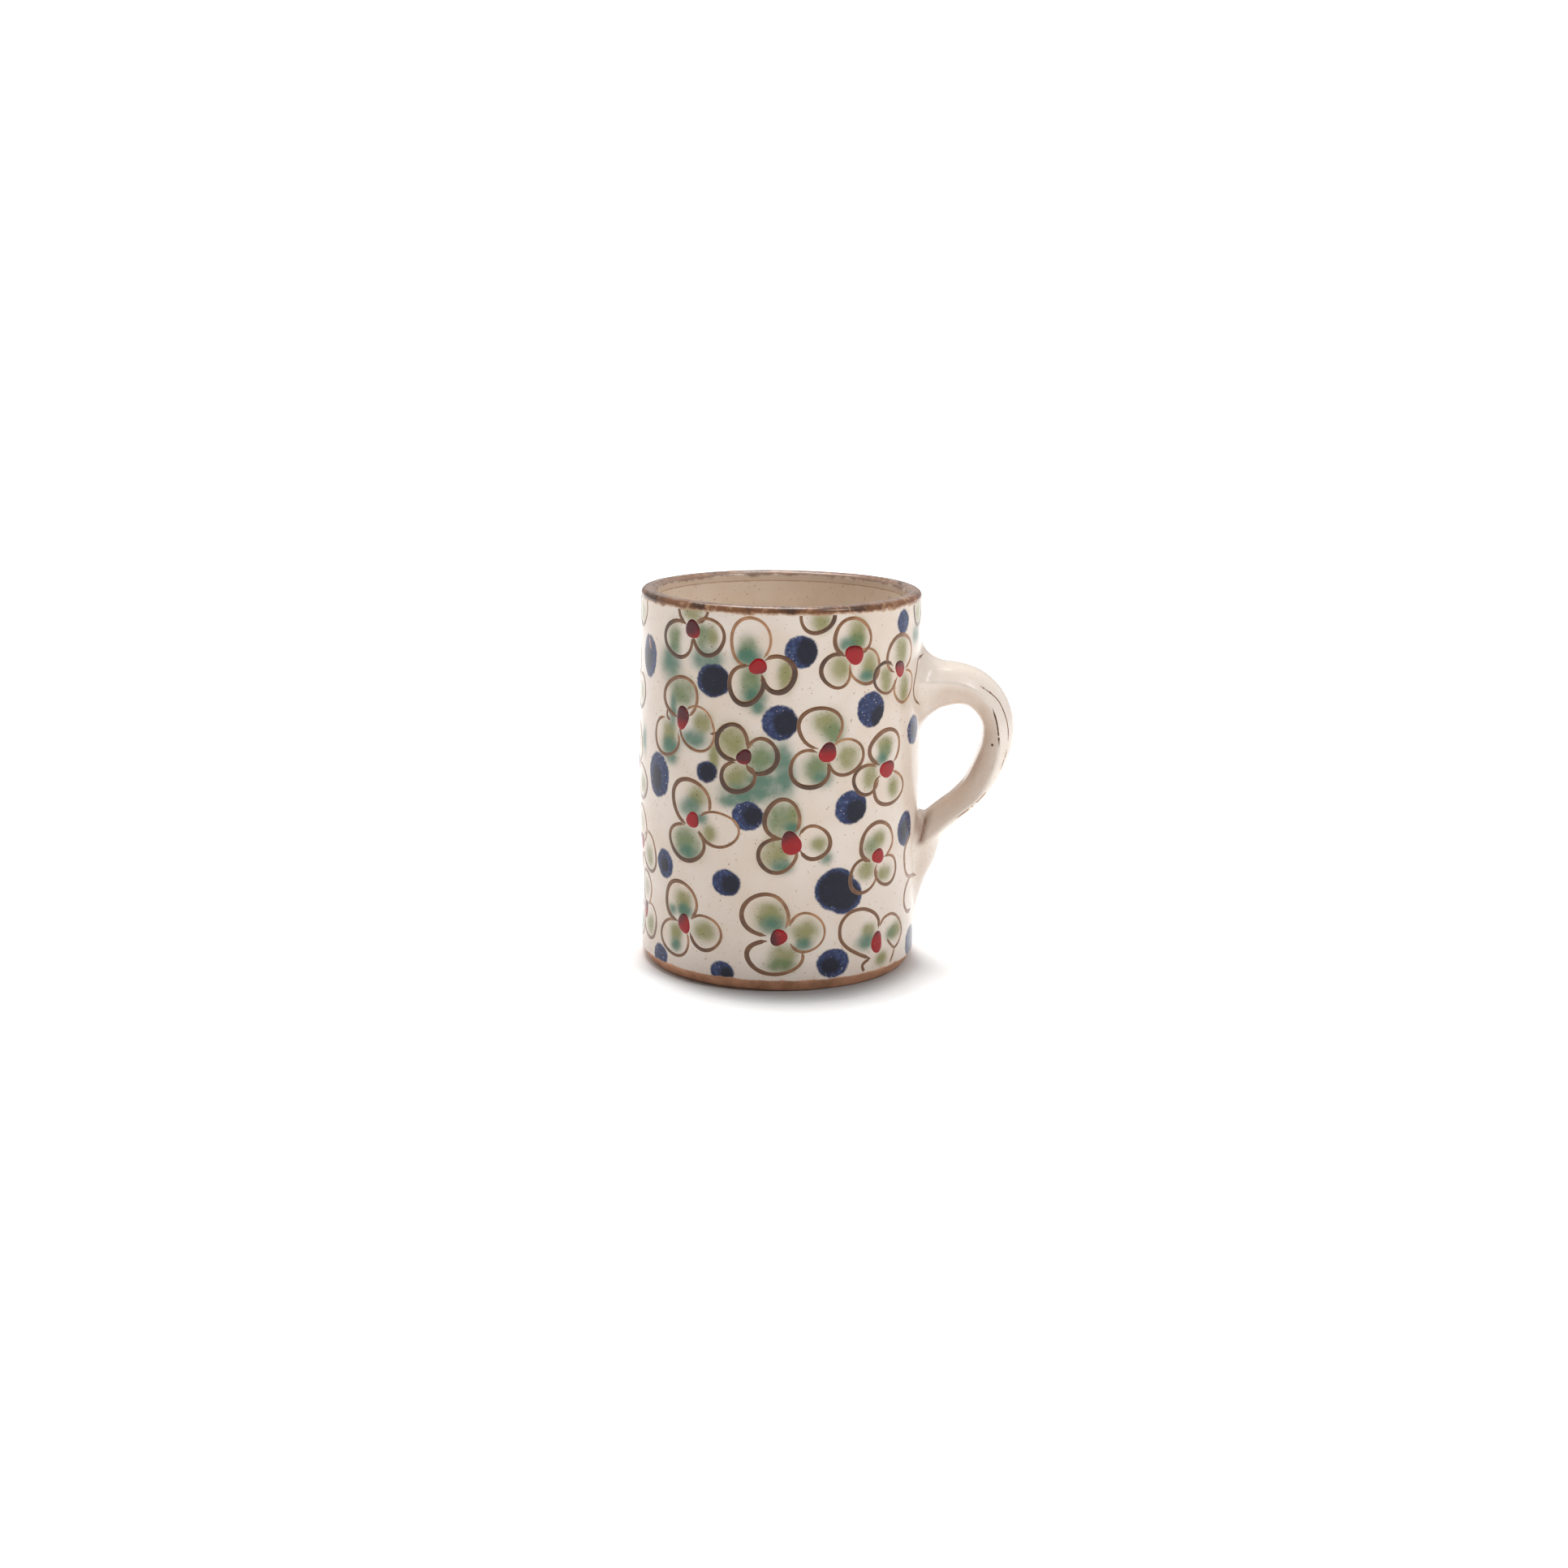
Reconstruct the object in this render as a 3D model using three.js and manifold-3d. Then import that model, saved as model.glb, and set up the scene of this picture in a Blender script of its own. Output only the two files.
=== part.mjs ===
// A hand-made stoneware mug: a straight cylindrical cup with a pulled strap handle on +X.
// Millimetres, +Z up, origin on the cup's axis at the face it rests on.
import * as THREE from 'three';
import { mergeVertices } from 'three/addons/utils/BufferGeometryUtils.js';
import Module from 'manifold-3d';

// Driving dimensions of the cup
const CUP_RADIUS = 40; // outside, over the glaze
const CUP_HEIGHT = 108.4;
const BORE_RADIUS = 35.5; // inside, over the glaze
const COAT = 0.4; // a glaze coat's thickness
const SKIN_GAP = 0.1; // between a coat and the clay that it lies on
const FLOOR_THICKNESS = 5.6; // clay floor
const COVE_RADIUS = 4; // glaze pooled in the inside corner
const RIM_BAND_DEPTH = 1.6; // how far the oxide wash runs down the outside of the lip
const FOOT_BEVEL_HEIGHT = 3.4;
const FOOT_BEVEL_INSET = 1.9;
const FOOT_LIFT = 0.5; // bare clay left below the foot's oxide wash
const LIP_ROUND = 1.2;

// Driving dimensions of the handle
const BOND_GAP = 0.3; // the slip line between the handle and the cup, and between its parts
const UPPER_CUT = { x: 46.6, z: 80, tilt: 0 }; // where the flared upper root passes into the strap
const LOWER_CUT = { x: 48.2, z: 42.8, tilt: 0.8 }; // where the strap passes into its tail

const ZONE_SIZE = 60; // larger than either end of the handle
const FLARE_END = 0.1; // along the strap, where the flare's upright sections begin to turn
const FLARE_BLEND_END = 0.35; // and where they are square to the strap
const SECTION_SOFTNESS = 0.78; // 1 is an ellipse, 0 a rectangle

const RING_SEGMENTS = 80;
const COVE_STEPS = 3;
const LIP_STEPS = 3;
const SECTION_POINTS = 20;
const STRAP_STEPS = 40;
const TAIL_STEPS = 12;

const HALF_PI = Math.PI / 2;
const SIDEWAYS = new THREE.Vector3(0, 1, 0);
const CLAY_OUTER = CUP_RADIUS - COAT - SKIN_GAP;
const CLAY_INNER = BORE_RADIUS + COAT + SKIN_GAP;
const CLAY_TOP = CUP_HEIGHT - COAT - SKIN_GAP;
const FLOOR_TOP = FLOOR_THICKNESS + SKIN_GAP + COAT;
const BAND_EDGE = CUP_HEIGHT - RIM_BAND_DEPTH;

const wasm = await Module();
wasm.setup();

const glazedClay = () => new THREE.MeshStandardMaterial({ color: 0xe6d9cc, roughness: 0.22, metalness: 0 });
const bareClay = () => new THREE.MeshStandardMaterial({ color: 0xcdb9a2, roughness: 0.85, metalness: 0 });
const oxideWash = () => new THREE.MeshStandardMaterial({ color: 0x7a5540, roughness: 0.4, metalness: 0 });

const mug = new THREE.Group();

function addPart(name, geometry, material) {
  const mesh = new THREE.Mesh(geometry, material);
  mesh.name = name;
  mug.add(mesh);
}

// Solids: between BufferGeometry and a closed manifold

function weld(geometry) {
  const bare = geometry.clone();
  bare.deleteAttribute('normal');
  bare.deleteAttribute('uv');
  return mergeVertices(bare, 1e-4);
}

function toSolid(geometry) {
  const welded = weld(geometry);
  return new wasm.Manifold(new wasm.Mesh({
    numProp: 3,
    vertProperties: new Float32Array(welded.attributes.position.array),
    triVerts: new Uint32Array(welded.index.array),
  }));
}

function toGeometry(solid) {
  const mesh = solid.getMesh();
  const geometry = new THREE.BufferGeometry();
  geometry.setAttribute('position', new THREE.BufferAttribute(mesh.vertProperties, 3));
  geometry.setIndex(new THREE.BufferAttribute(mesh.triVerts, 1));
  geometry.computeVertexNormals();
  return geometry;
}

// A profile of [radius, height] points turned about the cup's axis
function turned(profile) {
  const points = profile.map(([radius, height]) => new THREE.Vector2(radius, height));
  return weld(new THREE.LatheGeometry(points, RING_SEGMENTS).rotateX(Math.PI / 2));
}

function arc(centreR, centreZ, radius, from, to, steps) {
  return Array.from({ length: steps + 1 }, (_, i) => {
    const angle = from + ((to - from) * i) / steps;
    return [centreR + radius * Math.cos(angle), centreZ + radius * Math.sin(angle)];
  });
}

const closed = (profile) => [...profile, profile[0]];
// The lip's half-round edges: outside then inside, for a shell between two radii
function lipArcs(inner, outer, top, round) {
  return [
    ...arc(outer - round, top - round, round, 0, HALF_PI, LIP_STEPS),
    ...arc(inner + round, top - round, round, HALF_PI, Math.PI, LIP_STEPS),
  ];
}

function cupWall() {
  return turned(closed([
    [CLAY_INNER, FLOOR_THICKNESS + SKIN_GAP],
    [CLAY_OUTER, FLOOR_THICKNESS + SKIN_GAP],
    ...lipArcs(CLAY_INNER, CLAY_OUTER, CLAY_TOP, LIP_ROUND),
  ]));
}

function cupFloor() {
  return turned([
    [0, 0],
    [CLAY_OUTER - FOOT_BEVEL_INSET, 0],
    [CLAY_OUTER, FOOT_BEVEL_HEIGHT],
    [CLAY_OUTER, FLOOR_THICKNESS],
    [0, FLOOR_THICKNESS],
  ]);
}

// Glaze over the floor and up the inside wall, pooled thicker in the corner
function innerGlaze() {
  const cove = arc(BORE_RADIUS - COVE_RADIUS, FLOOR_TOP + COVE_RADIUS, COVE_RADIUS, 0, -HALF_PI, COVE_STEPS);
  return turned([
    [0, FLOOR_THICKNESS + SKIN_GAP],
    [BORE_RADIUS + COAT, FLOOR_THICKNESS + SKIN_GAP],
    [BORE_RADIUS + COAT, BAND_EDGE - SKIN_GAP],
    [BORE_RADIUS, BAND_EDGE - SKIN_GAP],
    ...cove,
    [0, FLOOR_TOP],
  ]);
}

// Oxide wash over the lip, from the outside wall to the inside wall
function rimBand() {
  const inside = lipArcs(BORE_RADIUS + COAT, CUP_RADIUS - COAT, CUP_HEIGHT - COAT, LIP_ROUND);
  return turned(closed([
    [CUP_RADIUS - COAT, BAND_EDGE],
    [CUP_RADIUS, BAND_EDGE],
    ...lipArcs(BORE_RADIUS, CUP_RADIUS, CUP_HEIGHT, LIP_ROUND + COAT),
    [BORE_RADIUS, BAND_EDGE],
    [BORE_RADIUS + COAT, BAND_EDGE],
    ...inside.reverse(),
  ]));
}

// Oxide wash on the foot's bevel
function footBand() {
  const slope = FOOT_BEVEL_INSET / FOOT_BEVEL_HEIGHT;
  const low = CLAY_OUTER + SKIN_GAP - FOOT_BEVEL_INSET + FOOT_LIFT * slope;
  const high = CLAY_OUTER + SKIN_GAP;
  return turned(closed([
    [low, FOOT_LIFT],
    [low + COAT, FOOT_LIFT],
    [high + COAT, FOOT_BEVEL_HEIGHT],
    [high, FOOT_BEVEL_HEIGHT],
  ]));
}

// The handle

// One closed ring of the handle's section: a rounded rectangle, as a superellipse
function sectionRing(centre, across, halfThickness, halfWidth) {
  const soften = (value) => Math.sign(value) * Math.abs(value) ** SECTION_SOFTNESS;
  return Array.from({ length: SECTION_POINTS }, (_, i) => {
    const angle = (2 * Math.PI * i) / SECTION_POINTS;
    return centre.clone()
      .addScaledVector(across, halfThickness * soften(Math.cos(angle)))
      .addScaledVector(SIDEWAYS, halfWidth * soften(Math.sin(angle)));
  });
}

// A solid through rings of equal length, closed by a fan at each end
function loft(rings) {
  const count = rings[0].length;
  const middle = (ring) => ring.reduce((sum, p) => sum.add(p), new THREE.Vector3()).divideScalar(count);
  const points = [...rings.flat(), middle(rings[0]), middle(rings[rings.length - 1])];
  const firstMiddle = points.length - 2;
  const lastMiddle = points.length - 1;
  const lastRing = (rings.length - 1) * count;
  const faces = [];
  for (let i = 0; i < count; i++) {
    const next = (i + 1) % count;
    for (let base = 0; base < lastRing; base += count) {
      faces.push(base + i, base + count + i, base + next);
      faces.push(base + next, base + count + i, base + count + next);
    }
    faces.push(firstMiddle, i, next);
    faces.push(lastMiddle, lastRing + next, lastRing + i);
  }
  const geometry = new THREE.BufferGeometry().setFromPoints(points);
  geometry.setIndex(faces);
  return geometry;
}

// A body of changing section along a smooth route in the handle's plane.
// Each station is { x, z, thickness, width }, with half sizes; across(u) is the thickness direction.
function tapered(stations, steps, grow, across) {
  const route = new THREE.CatmullRomCurve3(stations.map(({ x, z }) => new THREE.Vector3(x, 0, z)));
  const sizes = new THREE.CatmullRomCurve3(
    stations.map(({ thickness, width }) => new THREE.Vector3(thickness, width, 0)),
  );
  const rings = [];
  for (let i = 0; i <= steps; i++) {
    const u = i / steps;
    const size = sizes.getPoint(u);
    rings.push(sectionRing(route.getPoint(u), across(u, route), size.x + grow, size.y + grow));
  }
  return toSolid(loft(rings));
}

// The middle of the strap, from its flared upper root, over the bend, and in to its tail
const STRAP = [
  { x: 38.5, z: 79.2, thickness: 14.5, width: 11.4 },
  { x: 41.4, z: 79.9, thickness: 10.2, width: 10.6 },
  { x: 44.5, z: 81.2, thickness: 7.3, width: 9.9 },
  { x: 51.0, z: 81.3, thickness: 5.7, width: 9.6 },
  { x: 59.3, z: 77.6, thickness: 5.0, width: 9.4 },
  { x: 63.1, z: 68.0, thickness: 4.6, width: 9.2 },
  { x: 61.4, z: 59.4, thickness: 4.3, width: 8.8 },
  { x: 57.3, z: 51.4, thickness: 3.8, width: 8.2 },
  { x: 49.8, z: 44.2, thickness: 3.4, width: 7.8 },
  { x: 43.5, z: 39.0, thickness: 4.4, width: 8.0 },
  { x: 38.0, z: 35.0, thickness: 5.0, width: 8.2 },
];

// The tail, smeared down the wall below the strap: reach is from the cup's axis
const TAIL_AXIS = 37.5;
const TAIL = [
  { z: 42.5, reach: 43.0, width: 6.0 },
  { z: 38.5, reach: 47.6, width: 7.8 },
  { z: 34.0, reach: 47.0, width: 8.0 },
  { z: 28.5, reach: 45.2, width: 7.0 },
  { z: 21.5, reach: 42.4, width: 5.0 },
  { z: 15.0, reach: 39.9, width: 2.6 },
].map(({ z, reach, width }) => ({ x: TAIL_AXIS, z, thickness: reach - TAIL_AXIS, width }));

// Square to the route, but upright at the flare, so that its sections can't fold over each other
function acrossStrap(u, route) {
  const tangent = route.getTangent(u);
  const turn = THREE.MathUtils.smoothstep(u, FLARE_END, FLARE_BLEND_END);
  const angle = THREE.MathUtils.lerp(HALF_PI, Math.atan2(tangent.x, -tangent.z), turn);
  return new THREE.Vector3(Math.cos(angle), 0, Math.sin(angle));
}

const acrossTail = () => new THREE.Vector3(1, 0, 0);

function handleSolid(grow) {
  const strap = tapered(STRAP, STRAP_STEPS, grow, acrossStrap);
  return strap.add(tapered(TAIL, TAIL_STEPS, grow, acrossTail));
}

function cylinderSolid(radius) {
  return toSolid(turned([[0, 0], [radius, 0], [radius, CUP_HEIGHT], [0, CUP_HEIGHT]]));
}

// The zone of one end of the handle: a block whose outward face is the cut across the strap,
// moved out by the gap
function endZone(cut, gap) {
  const block = new THREE.BoxGeometry(ZONE_SIZE, ZONE_SIZE, ZONE_SIZE);
  block.translate(gap - ZONE_SIZE / 2, 0, 0);
  block.rotateY(-cut.tilt);
  block.translate(cut.x, 0, cut.z);
  return toSolid(block);
}

function outerGlaze(handleHole) {
  const tube = toSolid(turned(closed([
    [CUP_RADIUS - COAT, FOOT_BEVEL_HEIGHT + SKIN_GAP],
    [CUP_RADIUS, FOOT_BEVEL_HEIGHT + SKIN_GAP],
    [CUP_RADIUS, BAND_EDGE - SKIN_GAP],
    [CUP_RADIUS - COAT, BAND_EDGE - SKIN_GAP],
  ])));
  return toGeometry(tube.subtract(handleHole));
}

const handle = handleSolid(0).subtract(cylinderSolid(CLAY_OUTER + BOND_GAP));

addPart('cup_wall', cupWall(), glazedClay());
addPart('cup_floor', cupFloor(), bareClay());
addPart('inner_glaze', innerGlaze(), glazedClay());
addPart('outer_glaze', outerGlaze(handleSolid(BOND_GAP)), glazedClay());
addPart('rim_band', rimBand(), oxideWash());
addPart('foot_band', footBand(), oxideWash());
const strap = handle.subtract(endZone(UPPER_CUT, BOND_GAP)).subtract(endZone(LOWER_CUT, BOND_GAP));
addPart('handle_upper_root', toGeometry(handle.intersect(endZone(UPPER_CUT, 0))), glazedClay());
addPart('handle_strap', toGeometry(strap), glazedClay());
addPart('handle_lower_root', toGeometry(handle.intersect(endZone(LOWER_CUT, 0))), glazedClay());

export default mug;
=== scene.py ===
"""A hand-made stoneware mug with a pulled handle and brush-painted flowers, on a white studio floor.

The mug's lengths are millimetres until new_piece() turns them into metres; the studio is in metres. The wall is painted
in unrolled coordinates: s runs round the cup from the front, positive towards the handle, and z is the height.
"""

import bpy
import numpy as np
from mathutils import Matrix, Vector


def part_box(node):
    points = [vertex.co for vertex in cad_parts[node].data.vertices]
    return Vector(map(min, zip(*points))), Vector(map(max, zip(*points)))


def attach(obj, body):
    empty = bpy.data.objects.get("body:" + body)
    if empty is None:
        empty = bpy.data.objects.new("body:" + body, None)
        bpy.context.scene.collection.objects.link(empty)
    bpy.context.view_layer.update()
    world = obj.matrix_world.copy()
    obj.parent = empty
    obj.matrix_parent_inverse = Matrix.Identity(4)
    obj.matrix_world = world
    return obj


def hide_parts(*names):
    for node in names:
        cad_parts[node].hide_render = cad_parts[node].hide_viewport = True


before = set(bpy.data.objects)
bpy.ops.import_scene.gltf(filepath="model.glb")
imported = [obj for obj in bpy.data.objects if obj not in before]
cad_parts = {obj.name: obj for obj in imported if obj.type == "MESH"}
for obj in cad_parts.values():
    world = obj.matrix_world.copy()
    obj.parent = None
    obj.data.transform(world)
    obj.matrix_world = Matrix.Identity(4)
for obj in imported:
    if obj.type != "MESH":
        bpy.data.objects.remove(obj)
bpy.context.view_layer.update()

# The cup. Its radius and height are those of the CAD nodes; the rest follows the CAD part to 0.1 mm.
RADIUS = -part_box("outer_glaze")[0][0] * 1000
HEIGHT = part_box("rim_band")[1][2] * 1000
ROUND = 2 * np.pi * RADIUS
BORE = 35.5  # the radius inside
FLOOR_TOP = 6.1
COVE = 4.0  # the radius of the corner between the inner wall and the floor
RIM_BAND = 1.6  # the depth of the oxide outside, and the rounding of the lip
RIM_EDGE = HEIGHT - RIM_BAND
LIP_DEPTH = 2.8  # how far the oxide runs down inside
FOOT_EDGE = 3.4
FOOT_INSET = 1.8

# The painted wall's grid.
COLUMNS, WALL_ROWS = 360, 150
LINER_COLUMNS = 180

# Colours, as sRGB of 0 to 255.
CREAM = (220, 207, 196)
CREAM_WARM = (212, 195, 179)
# Painted light: a lighter cream on the handle away from the wall and round its upper root.
PAINTED_LIGHT_CREAM = (240, 230, 220)
# Thin glaze and painted shade: the warmer, darker tone on the handle's inner sides, which turn from the light.
THIN_GLAZE_AND_SHADE = (206, 182, 162)
# Painted light: the inside's cream, lighter than the outside's, in place of light reaching into the cup.
LINER_PAINTED_LIGHT = (246, 232, 216)
LINER_WARM_PAINTED_LIGHT = (238, 219, 199)
OXIDE = (126, 86, 60)
OXIDE_DARK = (80, 56, 44)
OXIDE_TAN = (178, 138, 106)
# Painted highlight: a greyer tan along the top of the lip, where the oxide also runs thin.
OXIDE_HIGHLIGHT_GREY = (176, 150, 134)
# The glaze on the lip's inner face, where the oxide wears through, painted lighter as painted light.
OXIDE_WORN_LIT = (236, 218, 200)
CLAY = (206, 152, 120)
OLIVE = (128, 126, 74)
GREEN = (98, 116, 74)
TEAL = (66, 108, 90)
COBALT = (38, 46, 80)
COBALT_PALE = (66, 82, 122)
COBALT_DEEP = (20, 20, 34)
INK = (112, 76, 50)
INK_DARK = (72, 50, 36)
INK_THIN = (172, 126, 90)
RED = (148, 22, 26)
RED_DARK = (80, 32, 36)
RED_PALE = (190, 84, 78)


def linear(colour):
    """An sRGB colour of 0 to 255 as the linear RGBA that shaders take."""
    c = np.array(colour, float) / 255
    c = np.where(c <= 0.04045, c / 12.92, ((c + 0.055) / 1.055) ** 2.4)
    return tuple(float(v) for v in c) + (1.0,)


# ---- Materials


def ramp_node(tree, value, low, high, bottom, top, kind="SMOOTHSTEP"):
    """A step from bottom, where value is at most low, to top, where it is at least high."""
    node = tree.nodes.new("ShaderNodeMapRange")
    node.interpolation_type = kind
    tree.links.new(value, node.inputs["Value"])
    for socket, number in (("From Min", low), ("From Max", high), ("To Min", bottom), ("To Max", top)):
        node.inputs[socket].default_value = number
    return node.outputs["Result"]


class Surface:
    """A node material made step by step: each method returns a socket that the next one can take."""

    def __init__(self, name, roughness, coat, gloss=0.26):
        self.material = bpy.data.materials.new(name)
        self.material.use_nodes = True
        self.tree = self.material.node_tree
        self.shader = self.tree.nodes["Principled BSDF"]
        self.shader.inputs["Roughness"].default_value = roughness
        self.shader.inputs["Coat Weight"].default_value = coat
        self.shader.inputs["Coat Roughness"].default_value = 0.08
        self.shader.inputs["Specular IOR Level"].default_value = gloss
        self.place = self.tree.nodes.new("ShaderNodeTexCoord").outputs["Object"]
        split = self.tree.nodes.new("ShaderNodeSeparateXYZ")
        self.tree.links.new(self.place, split.inputs[0])
        self.height = self.math("MULTIPLY", split.outputs["Z"], 1000.0)

    def put(self, socket, value):
        """Links a socket to another one, or sets it to a number or to an sRGB colour."""
        if isinstance(value, bpy.types.NodeSocket):
            self.tree.links.new(value, socket)
        else:
            socket.default_value = linear(value) if isinstance(value, tuple) else value

    def math(self, operation, a, b=0.0):
        node = self.tree.nodes.new("ShaderNodeMath")
        node.operation = operation
        self.put(node.inputs[0], a)
        self.put(node.inputs[1], b)
        return node.outputs[0]

    def noise(self, size, detail=2.0, turn=0.0):
        """Noise from 0 to 1 with features of about size mm."""
        node = self.tree.nodes.new("ShaderNodeTexNoise")
        node.noise_dimensions = "4D"
        self.put(node.inputs["Vector"], self.place)
        node.inputs["W"].default_value = turn
        node.inputs["Scale"].default_value = 1000.0 / size
        node.inputs["Detail"].default_value = detail
        return node.outputs["Fac"]

    def value(self, name):
        """A per-point value of the mesh."""
        node = self.tree.nodes.new("ShaderNodeAttribute")
        node.attribute_name = name
        return node.outputs["Fac"]

    def ramp(self, value, low, high, bottom=0.0, top=1.0):
        return ramp_node(self.tree, value, low, high, bottom, top)

    def mix(self, share, a, b):
        """Colour a with the given share of colour b."""
        node = self.tree.nodes.new("ShaderNodeMix")
        node.data_type = "RGBA"
        self.put(node.inputs["Factor"], share)
        self.put(node.inputs["A"], a)
        self.put(node.inputs["B"], b)
        return node.outputs["Result"]

    def jitter(self, value, size, reach, turn=0.0, detail=3.0):
        """value, moved up and down by noise of the given size and reach in mm."""
        shift = self.math("MULTIPLY", self.math("SUBTRACT", self.noise(size, detail, turn), 0.5), 2 * reach)
        return self.math("ADD", value, shift)

    def cream(self, light=CREAM, warm=CREAM_WARM):
        """The cream glaze: cloudy, with fine brown specks where the clay's iron comes through."""
        colour = self.mix(self.ramp(self.noise(14, 3, 1.0), 0.3, 0.75), light, warm)
        specks = self.ramp(self.noise(1.1, 0, 2.0), 0.74, 0.80, 0.0, 0.35)
        colour = self.mix(specks, colour, OXIDE_TAN)
        specks = self.ramp(self.noise(0.6, 0, 3.0), 0.77, 0.81, 0.0, 0.7)
        return self.mix(specks, colour, OXIDE)

    def oxide(self):
        """The brown wash: broken between dark, brown and tan."""
        colour = self.mix(self.ramp(self.noise(7, 3, 4.0), 0.42, 0.62), OXIDE, OXIDE_DARK)
        return self.mix(self.ramp(self.noise(2.2, 3, 5.0), 0.54, 0.68, 0.0, 0.7), colour, OXIDE_TAN)

    def clay(self):
        """Bare fired clay, a little sandy."""
        colour = self.mix(self.ramp(self.noise(5, 4, 6.0), 0.35, 0.7, 0.0, 0.5), CLAY, OXIDE)
        return self.mix(self.ramp(self.noise(0.8, 2, 7.0), 0.6, 0.72, 0.0, 0.6), colour, OXIDE_TAN)

    def foot_line(self):
        """The height, uneven: the glaze of the wall and the clay of the foot meet along it."""
        return self.jitter(self.jitter(self.height, 4.0, 0.7, 19.0), 0.8, 0.3, 20.0)

    def finish(self, colour, bump, size):
        """Sets the colour and an uneven surface of the given depth and size in mm."""
        self.put(self.shader.inputs["Base Color"], colour)
        node = self.tree.nodes.new("ShaderNodeBump")
        node.inputs["Strength"].default_value = 1.0
        node.inputs["Distance"].default_value = bump / 1000
        self.put(node.inputs["Height"], self.noise(size, 3, 8.0))
        self.tree.links.new(node.outputs["Normal"], self.shader.inputs["Normal"])
        return self.material


def painted(m, colour):
    """Adds painted shade at the handle's joints, the green washes and the cobalt dots over a colour."""
    cloud = m.ramp(m.noise(4.0, 4, 11.0), 0.3, 0.7, 0.8, 1.12)
    # The first kind is painted shade: warm brown in the hollows where the handle meets the wall, laid like a wash.
    for name, paint in (("joint_shade", OXIDE), ("olive", OLIVE), ("green", GREEN), ("teal", TEAL)):
        share = m.ramp(m.math("MULTIPLY", m.value(name), cloud), 0.0, 1.05, 0.0, 0.5 if name == "joint_shade" else 0.92)
        colour = m.mix(share, colour, paint)
    green = m.math("ADD", m.value("olive"), m.value("green"))
    specks = m.math("MULTIPLY", m.ramp(m.noise(0.5, 0, 21.0), 0.72, 0.77, 0.0, 0.8), m.ramp(green, 0.3, 0.9))
    colour = m.mix(specks, colour, INK_DARK)
    edge = m.jitter(m.jitter(m.value("dot"), 2.6, 0.6, 12.0), 0.7, 0.3, 13.0)
    cobalt = m.mix(m.ramp(m.noise(1.1, 4, 14.0), 0.4, 0.72, 0.0, 0.75), COBALT, COBALT_PALE)
    cobalt = m.mix(m.ramp(m.noise(0.5, 0, 15.0), 0.74, 0.8, 0.0, 0.7), cobalt, CREAM)
    deep = m.jitter(m.value("deep"), 1.4, 0.7, 16.0)
    cobalt = m.mix(m.ramp(deep, -0.9, 0.7, 0.95, 0.0), cobalt, COBALT_DEEP)
    return m.mix(m.ramp(edge, -0.4, 0.3, 1.0, 0.0), colour, cobalt)


def painted_glaze():
    """The wall: cream, the painting, and the oxide's ragged edges at rim and foot."""
    m = Surface("painted_glaze", 0.22, 0.1, 0.16)
    colour = painted(m, m.cream())
    rim = m.jitter(m.jitter(m.height, 3.0, 0.9, 17.0), 0.8, 0.4, 18.0)
    colour = m.mix(m.ramp(rim, RIM_EDGE - 1.0, RIM_EDGE - 0.4, 0.0, 0.8), colour, OXIDE_TAN)
    colour = m.mix(m.ramp(rim, RIM_EDGE - 0.6, RIM_EDGE), colour, m.oxide())
    colour = m.mix(m.ramp(m.foot_line(), FOOT_EDGE - 0.1, FOOT_EDGE + 0.4, 1.0, 0.0), colour, m.clay())
    return m.finish(colour, 0.05, 2.5)


def handle_glaze():
    """The handle: painted light away from the wall and at the upper root, thin glaze and painted shade on its inner
    sides, and brown in the pressed fold, as pooled glaze and painted shade.
    """
    m = Surface("handle_glaze", 0.22, 0.15, 0.2)
    # Thin glaze and painted shade on the handle's inner sides.
    bare = m.math("MULTIPLY", m.ramp(m.noise(5, 3, 30.0), 0.2, 0.8, 0.45, 0.85), m.value("bare"))
    colour = painted(m, m.cream())
    # Painted light: lighter cream where the handle stands off the wall and at its upper root.
    colour = m.mix(m.value("painted_light"), colour, PAINTED_LIGHT_CREAM)
    colour = m.mix(bare, colour, THIN_GLAZE_AND_SHADE)
    # Brown in the pressed fold: pooled glaze, and painted shade in the crease.
    colour = m.mix(m.jitter(m.value("fold"), 1.0, 0.12, 31.0), colour, OXIDE)
    return m.finish(colour, 0.06, 3.0)


def liner_glaze():
    """The inside: a cream painted lighter than the outside's as painted light, warmer, with a tan edge under the lip's
    oxide.
    """
    m = Surface("liner_glaze", 0.22, 0.15)
    rim = m.jitter(m.height, 2.0, 0.3, 24.0)
    share = m.ramp(rim, HEIGHT - LIP_DEPTH - 0.5, HEIGHT - LIP_DEPTH - 0.1, 0.0, 0.7)
    # The inside's cream is painted lighter as painted light.
    colour = m.mix(share, m.cream(LINER_PAINTED_LIGHT, LINER_WARM_PAINTED_LIGHT), OXIDE_TAN)
    return m.finish(colour, 0.05, 2.5)


def rim_wash():
    """The lip: oxide, a greyer tan along the top as a painted highlight where the oxide is thin, and the cream glaze on
    the inner face, where the oxide wears through, painted lighter as painted light.
    """
    m = Surface("rim_wash", 0.25, 0.3)
    colour = m.oxide()
    worn_and_lit = m.jitter(m.value("worn_and_lit"), 4.0, 0.3, 25.0)
    # Painted highlight along the top of the lip, and painted light on its inner face, over the oxide's wear.
    colour = m.mix(m.ramp(m.jitter(worn_and_lit, 1.0, 0.3, 29.0), 0.2, 0.6, 0.0, 0.65), colour, OXIDE_HIGHLIGHT_GREY)
    colour = m.mix(m.ramp(m.jitter(worn_and_lit, 1.0, 0.1, 33.0), 0.72, 0.9, 0.0, 0.9), colour, OXIDE_WORN_LIT)
    return m.finish(colour, 0.08, 1.6)


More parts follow.
